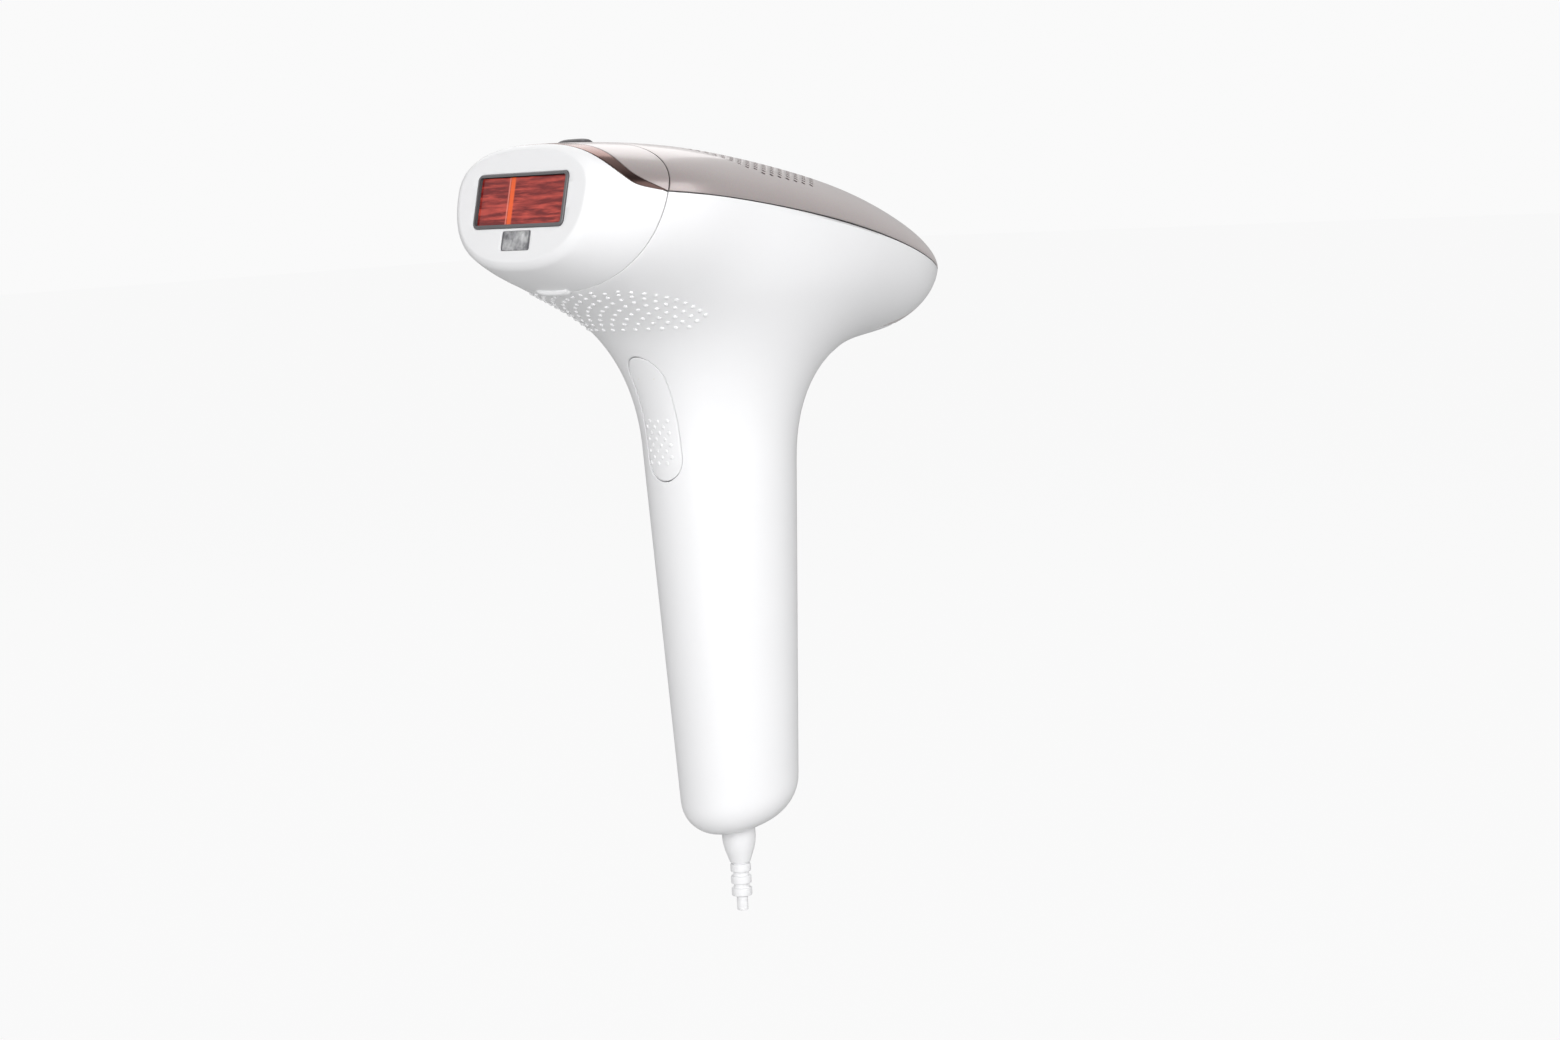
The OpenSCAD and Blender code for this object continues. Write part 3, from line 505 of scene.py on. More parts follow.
def noise(tree, where, scale, detail=3.0, rough=0.5):
    """Noise with a scale in bumps per metre."""
    inputs = {"Vector": where, "Scale": scale, "Detail": detail, "Roughness": rough}
    return add_node(tree, "TexNoise", inputs).outputs["Fac"]


def ranged(tree, value, from_min, from_max, to_min=0.0, to_max=1.0, kind="LINEAR"):
    inputs = {"Value": value, "From Min": from_min, "From Max": from_max, "To Min": to_min, "To Max": to_max}
    return add_node(tree, "MapRange", inputs, interpolation_type=kind).outputs["Result"]


def spread(tree, value, low, high):
    """Maps a 0.3 to 0.7 noise value to low to high."""
    return ranged(tree, value, 0.3, 0.7, low, high)


def stretched(tree, where, scale):
    return add_node(tree, "Mapping", {"Vector": where, "Scale": scale}).outputs["Vector"]


def axis_part(tree, vector, axis):
    return add_node(tree, "SeparateXYZ", {"Vector": vector}).outputs[axis]


def mixed(tree, factor, a, b, blend="MIX"):
    node = add_node(tree, "Mix", {}, data_type="RGBA", blend_type=blend)
    feed(tree, node, {"Factor": factor, "A": a, "B": b})
    return node.outputs["Result"]


def bump(tree, height, distance, strength=1.0):
    inputs = {"Strength": strength, "Distance": distance * MM, "Height": height}
    return add_node(tree, "Bump", inputs)


def scaled(colour, k):
    return tuple(c * k for c in colour)


def moulded(name, colour, rough, vary=0.04, grain=0.004, grain_scale=2500, metal=0.0, coat=0.0,
            coat_rough=0.1):
    """Moulded plastic: slight cloudy colour change, smudged roughness and a fine moulded grain."""
    mat, tree, where = new_look(name)
    cloud = noise(tree, where, 45, 4)
    smudge = noise(tree, where, 120, 5, 0.6)
    fine = noise(tree, where, grain_scale, 2)
    base = mixed(tree, spread(tree, cloud, 0, 1), scaled(colour, 1 - vary), colour)
    base = mixed(tree, spread(tree, fine, 0, 0.35), base, scaled(colour, 1 - 0.5 * vary))
    grained = bump(tree, fine, grain)
    feed(tree, grained, {"Normal": bump(tree, cloud, 0.02).outputs["Normal"]})
    principled(tree, {
        "Base Color": base, "Metallic": metal, "IOR": 1.46, "Coat Weight": coat, "Coat Roughness": coat_rough,
        "Roughness": spread(tree, smudge, rough * 0.86, rough * 1.14), "Normal": grained.outputs["Normal"],
    })
    return mat


def white_shell():
    return moulded("white_shell", (0.86, 0.86, 0.87), 0.33, 0.012, 0.003, 3000, coat=0.25, coat_rough=0.18)


def pearl_cover():
    """Taupe lacquer with fine metal flakes, with a painted sheen that makes it paler at a glancing angle and
    painted shade inside the holes and along the seams.
    """
    mat, tree, where = new_look("pearl_cover")
    cloud = noise(tree, where, 30, 3)
    flakes = add_node(tree, "TexVoronoi", {"Vector": where, "Scale": 3800})
    painted_sheen_factor = add_node(tree, "LayerWeight", {"Blend": 0.6}).outputs["Facing"]
    # painted shade: ambient occlusion mixes the base colour towards near black inside the air holes and along
    # the seams
    depth = add_node(tree, "AmbientOcclusion", {"Distance": 1.6 * MM}, samples=8).outputs["AO"]
    # painted sheen: the base colour turns pale at a glancing angle, where the lacquer would reflect its
    # bright surroundings
    base = mixed(tree, painted_sheen_factor, (0.24, 0.198, 0.194), (0.82, 0.755, 0.745))
    base = mixed(tree, spread(tree, cloud, 0, 0.06), base, (0.30, 0.25, 0.245))
    base = mixed(tree, 0.04, base, flakes.outputs["Color"], "OVERLAY")
    principled(tree, {
        "Base Color": mixed(tree, depth, (0.015, 0.013, 0.013), base), "Metallic": 0.45,
        "Roughness": spread(tree, cloud, 0.3, 0.38), "Coat Weight": 0.5, "Coat Roughness": 0.08,
        "Normal": bump(tree, flakes.outputs["Distance"], 0.001, 0.2).outputs["Normal"],
    })
    return mat


def bronze_trim():
    """Rose bronze plating with fine polish marks, with painted shade where it turns sideways."""
    mat, tree, where = new_look("bronze_trim")
    marks = noise(tree, stretched(tree, where, (8, 1, 1)), 600, 4)
    cloud = noise(tree, where, 80, 3)
    painted_shade_tilt = axis_part(tree, add_node(tree, "TexCoord", {}).outputs["Normal"], "Z")
    base = mixed(tree, spread(tree, cloud, 0, 1), (0.34, 0.215, 0.195), (0.38, 0.25, 0.225))
    # painted shade: the colour darkens to near black where the trim's surface turns from upward to sideways
    base = mixed(tree, ranged(tree, painted_shade_tilt, 0.4, 0.95), (0.06, 0.038, 0.034), base)
    principled(tree, {
        "Base Color": base, "Metallic": 1.0, "Roughness": spread(tree, marks, 0.14, 0.24),
        "Normal": bump(tree, marks, 0.004, 0.5).outputs["Normal"],
    })
    return mat


def glassy(name, colour, rough, alpha):
    """Tinted clear plastic or glass: part surface colour, part transmission."""
    mat, tree, where = new_look(name)
    cloud = noise(tree, where, 200, 3)
    principled(tree, {
        "Base Color": mixed(tree, spread(tree, cloud, 0, 1), colour, scaled(colour, 0.9)),
        "IOR": 1.5, "Transmission Weight": 1 - alpha,
        "Roughness": spread(tree, cloud, rough * 0.8, rough * 1.2),
        "Normal": bump(tree, cloud, 0.002, 0.3).outputs["Normal"],
    })
    return mat


def across_bar(tree, where, centre, half, soft):
    """Nine tenths inside an upright bar at a place across the window, and nought outside it."""
    offset = add_node(tree, "Math", {0: axis_part(tree, where, "Y"), 1: centre * MM}, operation="SUBTRACT")
    away = add_node(tree, "Math", {0: offset.outputs["Value"]}, operation="ABSOLUTE")
    return ranged(tree, away.outputs["Value"], half * MM, (half + soft) * MM, 0.9, 0.0, "SMOOTHSTEP")


def amber_filter():
    """Orange red filter glass. The bright bars and the streaks are painted reflections of the mirror light
    tunnel seen through it.
    """
    mat, tree, where = new_look("amber_filter")
    streaks = noise(tree, stretched(tree, where, (1, 0.1, 1)), 1000, 3, 0.6)
    blotch = noise(tree, where, 160, 2)
    # painted reflections: the streaks run from dark to bright red where the tunnel's mirror walls would show
    # through
    red = mixed(tree, spread(tree, streaks, -0.4, 1.4), (0.17, 0.010, 0.010), (0.66, 0.085, 0.06))
    red = mixed(tree, spread(tree, blotch, 0, 0.5), red, (0.20, 0.014, 0.014))
    # painted reflections: two bright bars across the window where the light tunnel's mirror would shine
    # through
    colour = mixed(tree, across_bar(tree, where, 5.1, 0.1, 0.25), red, (0.80, 0.22, 0.16))
    colour = mixed(tree, across_bar(tree, where, 3.9, 0.5, 0.6), colour, (0.95, 0.13, 0.02))
    principled(tree, {
        "Base Color": colour, "Roughness": 0.08, "Coat Weight": 0.5, "Coat Roughness": 0.03,
        "Normal": bump(tree, streaks, 0.02, 0.5).outputs["Normal"],
    })
    return mat


def sensor_grey():
    """Clear pane with the pale and dark facets of the skin sensor behind it."""
    mat, tree, where = new_look("sensor_grey")
    facets = add_node(tree, "TexVoronoi", {"Vector": where, "Scale": 700}).outputs["Distance"]
    cloud = noise(tree, where, 350, 3)
    base = mixed(tree, spread(tree, cloud, -0.2, 1.2), (0.18, 0.18, 0.19), (0.56, 0.56, 0.57))
    base = mixed(tree, 0.25, base, facets, "OVERLAY")
    for edge in (-0.46, 0.46):
        base = mixed(tree, across_bar(tree, where, edge * SENSOR_W, 0.15, 0.3), base, (0.10, 0.10, 0.11))
    principled(tree, {
        "Base Color": base, "Roughness": 0.12, "Coat Weight": 0.6, "Coat Roughness": 0.04,
        "Normal": bump(tree, cloud, 0.01, 0.4).outputs["Normal"],
    })
    return mat


def metal(name, colour, rough, brushed=(1, 1, 1)):
    """Bare metal with fine drawn or rolled marks."""
    mat, tree, where = new_look(name)
    marks = noise(tree, stretched(tree, where, brushed), 900, 4)
    principled(tree, {
        "Base Color": mixed(tree, spread(tree, marks, 0, 1), scaled(colour, 0.9), colour), "Metallic": 1.0,
        "Roughness": spread(tree, marks, rough * 0.75, rough * 1.25),
        "Normal": bump(tree, marks, 0.004, 0.5).outputs["Normal"],
    })
    return mat


def board_green():
    """Solder mask over copper tracks."""
    mat, tree, where = new_look("board_green")
    inputs = {"Vector": where, "Scale": 260, "Mortar Size": 0.03}
    tracks = add_node(tree, "TexBrick", inputs).outputs["Fac"]
    principled(tree, {
        "Base Color": mixed(tree, tracks, (0.03, 0.20, 0.09), (0.08, 0.36, 0.17)), "Roughness": 0.35,
        "Normal": bump(tree, tracks, 0.03).outputs["Normal"],
    })
    return mat


def copper_wire():
    """Close turns of enamelled wire."""
    mat, tree, where = new_look("copper_wire")
    inputs = {"Vector": where, "Scale": 700, "Distortion": 0.6}
    turns = add_node(tree, "TexWave", inputs, bands_direction="Z").outputs["Fac"]
    principled(tree, {
        "Base Color": mixed(tree, turns, (0.32, 0.12, 0.04), (0.75, 0.36, 0.16)), "Metallic": 0.9,
        "Roughness": 0.3, "Normal": bump(tree, turns, 0.15).outputs["Normal"],
    })
    return mat


MATERIALS = {
    "white_shell": white_shell,
    "pearl_cover": pearl_cover,
    "bronze_trim": bronze_trim,
    "frame_grey": lambda: moulded("frame_grey", (0.13, 0.125, 0.13), 0.3, 0.1, coat=0.3),
    "amber_filter": amber_filter,
    "sensor_grey": sensor_grey,
    "dark_grip": lambda: moulded("dark_grip", (0.10, 0.095, 0.10), 0.4, 0.1, 0.01, 1800),
    "mirror_metal": lambda: metal("mirror_metal", (0.85, 0.86, 0.88), 0.08),
    "inner_plastic": lambda: moulded("inner_plastic", (0.32, 0.34, 0.37), 0.5, 0.08, 0.012, 1500),
    "ivory_plastic": lambda: moulded("ivory_plastic", (0.72, 0.68, 0.57), 0.45, 0.06, 0.008, 1500),
    "dark_plastic": lambda: moulded("dark_plastic", (0.03, 0.03, 0.034), 0.45, 0.15, 0.012, 1500),
    "fan_plastic": lambda: moulded("fan_plastic", (0.02, 0.02, 0.022), 0.4, 0.2, 0.01, 1500),
    "gold_contact": lambda: metal("gold_contact", (0.83, 0.62, 0.28), 0.22),
    "clear_glass": lambda: glassy("clear_glass", (0.93, 0.96, 0.97), 0.03, 0.08),
    "steel": lambda: metal("steel", (0.60, 0.60, 0.61), 0.3, (1, 1, 9)),
    "board_green": board_green,
    "capacitor_sleeve": lambda: moulded("capacitor_sleeve", (0.03, 0.045, 0.11), 0.28, 0.12, 0.01, 900,
                                        coat=0.4),
    "ferrite": lambda: moulded("ferrite", (0.05, 0.05, 0.055), 0.6, 0.2, 0.03, 1200),
    "copper_wire": copper_wire,
    "coil_resin": lambda: moulded("coil_resin", (0.22, 0.06, 0.03), 0.35, 0.15, 0.01, 900, coat=0.5),
    "cord_white": lambda: moulded("cord_white", (0.84, 0.84, 0.85), 0.42, 0.02, 0.006, 1500),
    "button_silver": lambda: moulded("button_silver", (0.62, 0.60, 0.60), 0.3, 0.05, 0.003, 3000,
                                     metal=0.5, coat=0.5),
    "light_pipe": lambda: glassy("light_pipe", (0.75, 0.92, 0.80), 0.25, 0.7),
}

looks = {}


def look(slot):
    """The material of a slot, built once."""
    if slot not in looks:
        looks[slot] = MATERIALS[slot]()
    return looks[slot]


def dress_nodes():
    """Gives every CAD node the material of its slot."""
    for entry in frame["record"]["subparts"]:
        node = frame["nodes"][entry["node"]]
        node.data.materials.clear()
        node.data.materials.append(look(entry["material_slot"]))
        shade(node)


# ---------------------------------------------------------------- handset shells

FAN_ROWS = 30
DROP_ROWS = 56
FOOT_ROWS = 18
RIM_COLS = 20
SIDE_COLS = 34
REAR_COLS = 12
PANEL_SHARE = 0.7
PANEL_ROW = round(FAN_ROWS * PANEL_SHARE)


def rim_points(angle):
    """Points of the rim arc under the nose, where the leaning rim plane meets the head."""
    s = np.full(np.shape(angle), RIM_S)
    for _ in range(5):
        t = seam_t(s) - half_down(s) * sin(angle) ** (2 / RIM_POWER_DOWN)
        s = RIM_S + (t - SEAM_LEVEL) * tan(RIM_LEAN) + SEAM_GAP / 2
    across = half_w(s) * np.maximum(cos(angle), 0) ** (2 / RIM_POWER_DOWN)
    return stack(s, across, seam_t(s) - half_down(s) * sin(angle) ** (2 / RIM_POWER_DOWN))


def seam_points(s):
    return stack(s, half_w(s), seam_t(s) - SEAM_GAP / 2)


def rim_edge():
    return rim_points(90 * (1 - np.arange(RIM_COLS) / RIM_COLS))


def side_edge():
    w = sin(90 * np.arange(SIDE_COLS + 1) / SIDE_COLS)
    return seam_points(RIM_S + SEAM_GAP / 2 + (SPLIT_S - RIM_S - SEAM_GAP / 2) * w)


def rear_edge():
    w = sin(90 * np.arange(REAR_COLS + 1) / REAR_COLS)
    return seam_points(SPLIT_S + (HEAD_L - SPLIT_S) * w)


def plan_angle(p):
    return np.degrees(np.arctan2(p[..., 1], p[..., 0] - HANDLE_X))


SPLIT_TOP = float(plan_angle(from_head(seam_points(SPLIT_S))))


def handle_angle(top):
    """The angle a column reaches on the handle: the rear strip widens on its way down."""
    within = top * SPLIT_ANGLE / SPLIT_TOP
    beyond = SPLIT_ANGLE + (180 - SPLIT_ANGLE) * (top - SPLIT_TOP) / (180 - SPLIT_TOP)
    return np.where(top <= SPLIT_TOP, within, beyond)


def smooth(w):
    w = np.clip(w, 0, 1)
    return w * w * (3 - 2 * w)


HUB_Z = -41
HUB_DIP = 3


def hub_height(angle):
    """Height on the handle's axis that a column's rays fan out from."""
    return HUB_Z - HUB_DIP * cos(angle)


def direction(angle, rise):
    return stack(cos(angle) * cos(rise), sin(angle) * cos(rise), sin(rise))


def columns(edge):
    """Surface grid, rows from the top edge down to the socket opening, one column per edge point."""
    top = from_head(edge)
    angle = plan_angle(top)
    hub = hub_height(angle)
    rise = np.degrees(np.arctan2(top[:, 2] - hub, np.hypot(top[:, 0] - HANDLE_X, top[:, 1])))
    low = handle_angle(angle)
    axis = np.array([HANDLE_X, 0.0, 0.0])
    up = np.array([0.0, 0.0, 1.0])
    rows = [top]
    for i in range(1, FAN_ROWS + 1):
        rows.append(leave(axis + hub[:, None] * up, direction(angle, rise * (1 - i / FAN_ROWS))))
    for i in range(1, DROP_ROWS + 1):
        w = i / DROP_ROWS
        z = hub + (FOOT_Z - hub) * (0.5 * w ** 1.5 + 0.5 * (1 - (1 - w) ** 2))
        a = angle + (low - angle) * smooth((hub - z) / (hub - Z_WIDEN))
        rows.append(leave(axis + z[:, None] * up, direction(a, 0.0), 0.0, 90.0))
    for i in range(1, FOOT_ROWS + 1):
        w = i / FOOT_ROWS
        middle = axis + w * np.array([SOCKET_X - HANDLE_X, 0.0, 0.0])
        start = middle + FOOT_Z * up + SOCKET_R * w * direction(low, 0.0)
        rows.append(leave(start, direction(low, -90.0 * w), 0.0, 40.0))
    return np.stack(rows)


def mirrored(grid):
    return (grid * [1, -1, 1])[:, ::-1]


def under_seam(p, n):
    h = to_head(p - n * WALL)
    return from_head(stack(h[..., 0], h[..., 1], np.minimum(h[..., 2], seam_t(h[..., 0]) - SEAM_GAP / 2)))


def shell_piece(name, grid, slot):
    return new_piece(name, rounded_shell(grid, body_normal(grid), under_seam), "handset", slot)


def main_shell():
    """White shell of the nose, the sides and the handle, with the pips and the trigger opening."""
    half = columns(np.concatenate([rim_edge(), side_edge()]))
    grid = np.concatenate([mirrored(half)[:, :-1], half], 1)
    shell = shell_piece("main_shell_skin", grid, "white_shell")
    add(shell, nose_pips())
    cut(shell, [trigger_opening()])


def rear_strip():
    """Grid between the main shell's rear edges, from the tail tip down to the socket opening."""
    half = columns(rear_edge())
    half[:, 0] -= [0, SEAM_GAP, 0]
    return np.concatenate([half, mirrored(half)[:, 1:]], 1)


def rear_shell():
    shell_piece("rear_shell_skin", rear_strip()[PANEL_ROW:], "white_shell")


def control_panel():
    """Taupe panel on the tail, with holes for the button and the lights."""
    grid = rear_strip()[: PANEL_ROW + 1]
    grid[-1] += [0, 0, SEAM_GAP]
    panel = shell_piece("control_panel_skin", grid, "pearl_cover")
    cut(panel, [button_hole()] + light_holes())


COVER_ROWS = 60
COVER_COLS = 72
COVER_TIP = 0.01


def cover_points(s, angle):
    """Points on the body over the seam, at angles round the section from one seam to the other."""
    n = 2 / oval_power(s, True)
    c = cos(angle)
    level = seam_t(s) + SEAM_GAP / 2
    to = stack(s, half_w(s) * np.sign(c) * np.abs(c) ** n, level + half_up(s) * np.abs(sin(angle)) ** n)
    start = from_head(stack(s, 0.0, level))
    return leave(start, unit(from_head(to) - start), 0.0, 60.0)


def cover_inner(p, n):
    h = to_head(p)
    s, y, t = h[..., 0], h[..., 1], h[..., 2]
    level = seam_t(s) + SEAM_GAP / 2
    up = np.maximum(half_up(s), 0.05)
    across = np.maximum(half_w(s), 0.5)
    y = y * (1 - np.minimum(WALL, 0.3 * across) / across)
    return from_head(stack(s, y, level + (t - level) * (1 - np.minimum(WALL, 0.5 * up) / up)))


def top_cover():
    """Taupe cover from the rim to the tail tip, with its air holes."""
    angle = 180 * np.arange(COVER_COLS + 1)[None, :] / COVER_COLS
    start = RIM_S + SEAM_GAP / 2 + half_up(RIM_S) * tan(RIM_LEAN) * sin(angle) ** (2 / RIM_POWER_UP)
    w = sin(90 * np.arange(COVER_ROWS + 1)[:, None] / COVER_ROWS)
    grid = cover_points(start + (HEAD_L - COVER_TIP - start) * w, angle + 0 * w)
    solid = rounded_shell(
        grid, body_normal(grid), cover_inner,
        limit=lambda p: 0.35 * np.maximum(half_up(to_head(p)[..., 0]), 0.02),
    )
    cover = new_piece("top_cover_skin", solid, "handset", "pearl_cover")
    cut(cover, air_holes())


# ---------------------------------------------------------------- air holes, pips, trigger

VENT_PITCH = 3.0
VENT_R = 0.62
VENT_MIDDLE = 60.0
VENT_REACH_FRONT = 29.0
VENT_REACH_REAR = 25.0
VENT_HALF_W = 35.2


def vent_places():
    """Staggered rows of holes inside an oval on the top cover."""
    places = []
    for j in range(-22, 23):
        y = j * VENT_PITCH / 2
        for i in range(-11, 12):
            s = VENT_MIDDLE + (i + 0.5 * (j % 2)) * VENT_PITCH
            reach = VENT_REACH_REAR if s > VENT_MIDDLE else VENT_REACH_FRONT
            if abs((s - VENT_MIDDLE) / reach) ** 2.2 + abs(y / VENT_HALF_W) ** 2.2 < 1:
                places.append((s, y))
    return np.array(places)


def air_holes():
    places = vent_places()
    level = from_head(stack(places[:, 0], places[:, 1], seam_t(places[:, 0])))
    up = from_head(np.array([[0.0, 0.0, 1.0]]))
    at = leave(level, np.repeat(up, len(level), 0), 0.0, 25.0)
    return on_surface(at, hole(VENT_R, -4.5, 1.5, flare=0.04), 12)


PIP_R = 0.62
PIP_H = 0.36
PIP_ROWS = 12
PIP_WIDEST_ROW = 2
PIP_WIDEST = 7
PIP_LOW_Z = -34.5
PIP_RISE = 1.55
PIP_CROWDING = 0.055
PIP_TURN = 5.7
PIP_TURN_GAIN = 1.5


def pip_places():
    """Staggered pips under the nose as (angle, height), in a lozenge whose rows draw closer as they rise."""
    places = []
    for k in range(PIP_ROWS):
        pitch = PIP_TURN + PIP_TURN_GAIN * k / (PIP_ROWS - 1)
        z = PIP_LOW_Z + PIP_RISE * k - PIP_CROWDING * k ** 2
        reach = PIP_WIDEST - abs(k - PIP_WIDEST_ROW) / 2
        places += [(pitch * j, z) for j in np.arange(-reach, reach + 1)]
    return np.array(places)


def nose_pips():
    places = pip_places()
    centre = stack(HANDLE_X, 0.0, places[:, 1])
    at = leave(centre, direction(180 + places[:, 0], 0.0), 0.0, 70.0)
    return on_surface(at, pip(PIP_R, PIP_H), 14)


STADIUM_STEPS = 32


def stadium(grow):
    """Outline of the trigger as (y, z) points, grown outwards: two half rounds and two straights."""
    r = TRIGGER_W / 2
    straight = TRIGGER_L / 2 - r
    turn = 180 * np.arange(STADIUM_STEPS) / STADIUM_STEPS
    run = straight * (1 - 2 * np.arange(STADIUM_STEPS) / STADIUM_STEPS)
    a = np.concatenate([turn, 180 + 0 * run, 180 + turn, 360 + 0 * run])
    side = np.concatenate([straight + 0 * turn, run, -straight + 0 * turn, -run])
    return stack((r + grow) * cos(a), TRIGGER_Z + (r + grow) * sin(a) + side)


def on_front(q):
    """The body's front surface at (y, z) points."""
    return leave(stack(HANDLE_X, q[..., 0], q[..., 1]), [-1.0, 0.0, 0.0], 5.0, 60.0)


TRIGGER_GAP = 0.28
OPENING_ROUND = 0.15


def trigger_opening():
    """Cutter for the trigger's opening, which rounds the shell's edge."""
    profile = [(TRIGGER_GAP + OPENING_ROUND, 3.0)]
    for theta in np.linspace(90, 0, 6):
        profile.append((TRIGGER_GAP + OPENING_ROUND * (1 - cos(theta)), -OPENING_ROUND * (1 - sin(theta))))
    profile.append((TRIGGER_GAP, -8.0))
    return tube([on_front(stadium(grow)) + [-lift, 0, 0] for grow, lift in profile])


TRIGGER_THICK = 2.0
TRIGGER_ROUND = 0.22
TRIGGER_RINGS = 16
TRIGGER_SINK = 0.12


def trigger_face(w, sink):
    """A ring of the trigger's face at share w of its outline, sunk below the body's surface."""
    full = stadium(0.0)
    centre = np.array([0.0, TRIGGER_Z])
    return on_front(centre + (full - centre) * w) + [sink, 0, 0]


TRIGGER_PIP_PITCH = 3.2
TRIGGER_PIP_ROWS = 8
TRIGGER_PIP_TOP = -59.2
TRIGGER_PIP_REACH = 4.9


def trigger_pips():
    places = np.array([
        (TRIGGER_PIP_PITCH * (j + 0.5 * (k % 2)), TRIGGER_PIP_TOP - 0.5 * TRIGGER_PIP_PITCH * k)
        for k in range(TRIGGER_PIP_ROWS)
        for j in (-1, 0, 1)
        if abs(TRIGGER_PIP_PITCH * (j + 0.5 * (k % 2))) < TRIGGER_PIP_REACH
    ])
    at = on_front(places) + [0.06, 0, 0]
    return on_surface(at, pip(0.58, 0.3), 14)


def trigger_button():
    """White button that follows the handle's surface, with a rounded edge and raised pips."""
    half = TRIGGER_W / 2
    rings = [trigger_face(0.02, 0.0)]
    for i in range(1, TRIGGER_RINGS):
        w = i / TRIGGER_RINGS
        rings.append(trigger_face(w * (1 - TRIGGER_ROUND / half), TRIGGER_SINK * w ** 4))
    for theta in np.linspace(15, 90, 6):
        share = 1 - TRIGGER_ROUND * (1 - sin(theta)) / half
        rings.append(trigger_face(share, TRIGGER_SINK + TRIGGER_ROUND * (1 - cos(theta))))
    rings.append(trigger_face(1.0, TRIGGER_THICK))
    button = new_piece("trigger_button_skin", tube(rings), "trigger", "white_shell")
    add(button, trigger_pips())


# ---------------------------------------------------------------- head attachment

SKIN = 1.8
EDGE_ROUND = 2.5
BAND_GAP = 0.12
TRIM_FRONT_S = 2
TRIM_REAR_S = 6.7


def side_angle(a):
    """How far round the upper section an angle is from the nearer seam."""
    return np.minimum(a, 180 - a)


def trim_front(a):
    """Front edge of the trim, which sweeps back to the rim at each seam."""
    b = side_angle(a)
    return TRIM_FRONT_S + (RIM_S - TRIM_FRONT_S) * (0.42 * np.exp(-b / 1.6) + 0.58 * np.exp(-b / 22))


def trim_rear(a):
    return TRIM_REAR_S + (RIM_S - TRIM_REAR_S) * np.exp(-side_angle(a) / 10.6)


def rim_at(a):
    up = half_up(RIM_S) * np.abs(sin(a)) ** (2 / RIM_POWER_UP)
    down = -half_down(RIM_S) * np.abs(sin(a)) ** (2 / RIM_POWER_DOWN)
    return RIM_S - SEAM_GAP / 2 + tan(RIM_LEAN) * np.where(sin(a) > 0, up, down)


def edge_inset(s):
    near = np.clip(EDGE_ROUND - s, 0, EDGE_ROUND)
    return EDGE_ROUND - np.sqrt(EDGE_ROUND ** 2 - near ** 2)


def oval(s, a):
    """Points round the head's section, in head coordinates."""
    up = (a > 0) & (a < 180)
    n = 2 / oval_power(s, up)
    k = edge_inset(s)
    c = cos(a)
    v = np.where(up, half_up(s) - k, k - half_down(s))
    return stack(s, (half_w(s) - k) * np.sign(c) * np.abs(c) ** n, seam_t(s) + v * np.abs(sin(a)) ** n)


SIDE = 0.3 + 89.7 * np.linspace(0, 1, 44) ** 2
UPPER = np.concatenate([SIDE, 180 - SIDE[-2::-1]])
LOWER = 180.4 + 179.2 * np.linspace(0, 1, 90)
FLANK_ROWS = 34
PLATE_SHARES = (0.04, 0.2, 0.4, 0.6, 0.75, 0.85, 0.92, 0.97)


def drawn_in(surface, thick):
    """The attachment's inner wall: each ring drawn in towards its own centre, behind the plate."""
    h = to_head(surface)
    s, y, t = h[..., 0], h[..., 1], h[..., 2]
    level = seam_t(s)
    up = np.where(t > level, half_up(s), half_down(s))
    y = y * (1 - thick / half_w(s))
    t = level + (t - level) * (1 - thick / up)
    return from_head(stack(np.maximum(s, np.minimum(PLATE_S + thick, RIM_S)), y, t))


def plate_cutter(w, h, r, t=0.0, flare=0.35):
    """Cutter for an opening in the contact face, widening by flare at the face."""
    profile = [(flare, -3.0), (flare, PLATE_S), (0.35 * flare, PLATE_S + 0.3 * flare),
               (0.0, PLATE_S + flare), (0.0, 4.2)]
    return tube([outline_ring(w, h, r, -grow, s, t) for grow, s in profile])


def attachment_shell():
    """White shell of the attachment: the contact face, its rounded edge and the flanks."""
    around = np.concatenate([UPPER, LOWER])
    far = np.where(around < 180, trim_front(around) - BAND_GAP, rim_at(around))
    share = (np.linspace(0, 1, FLANK_ROWS) ** 1.7)[:, None]
    flank = oval(PLATE_S + (far - PLATE_S)[None, :] * share, around[None, :] + 0 * share)
    middle = np.array([PLATE_S, 0.0, 0.0])
    plate = np.stack([middle + (flank[0] - middle) * w for w in PLATE_SHARES])
    grid = from_head(np.concatenate([plate, flank]))
    normals = grid_normals(grid, grid - from_head(np.array([14.0, 0.0, 0.0])), ring=True)
    data, depth = rounded_ends(np.concatenate([grid, normals], -1), 0, (False, True))
    surface, n = data[..., :3], unit(data[..., 3:])
    h = to_head(drawn_in(surface, SKIN))
    edge = np.maximum(to_head(surface)[-1, :, 0], PLATE_S + 0.5)
    inner = from_head(stack(np.minimum(h[..., 0], edge[None, :]), h[..., 1], h[..., 2]))
    outer = surface - n * depth[:, None, None]
    solid = closed_shell(outer, inner, ring=True, capped=True)
    shell = new_piece("attachment_shell_skin", solid, "attachment", "white_shell")
    cut(shell, [plate_cutter(WINDOW_W, WINDOW_H, 1.6), plate_cutter(SENSOR_W, SENSOR_H, 0.6, SENSOR_T, 0.2)])


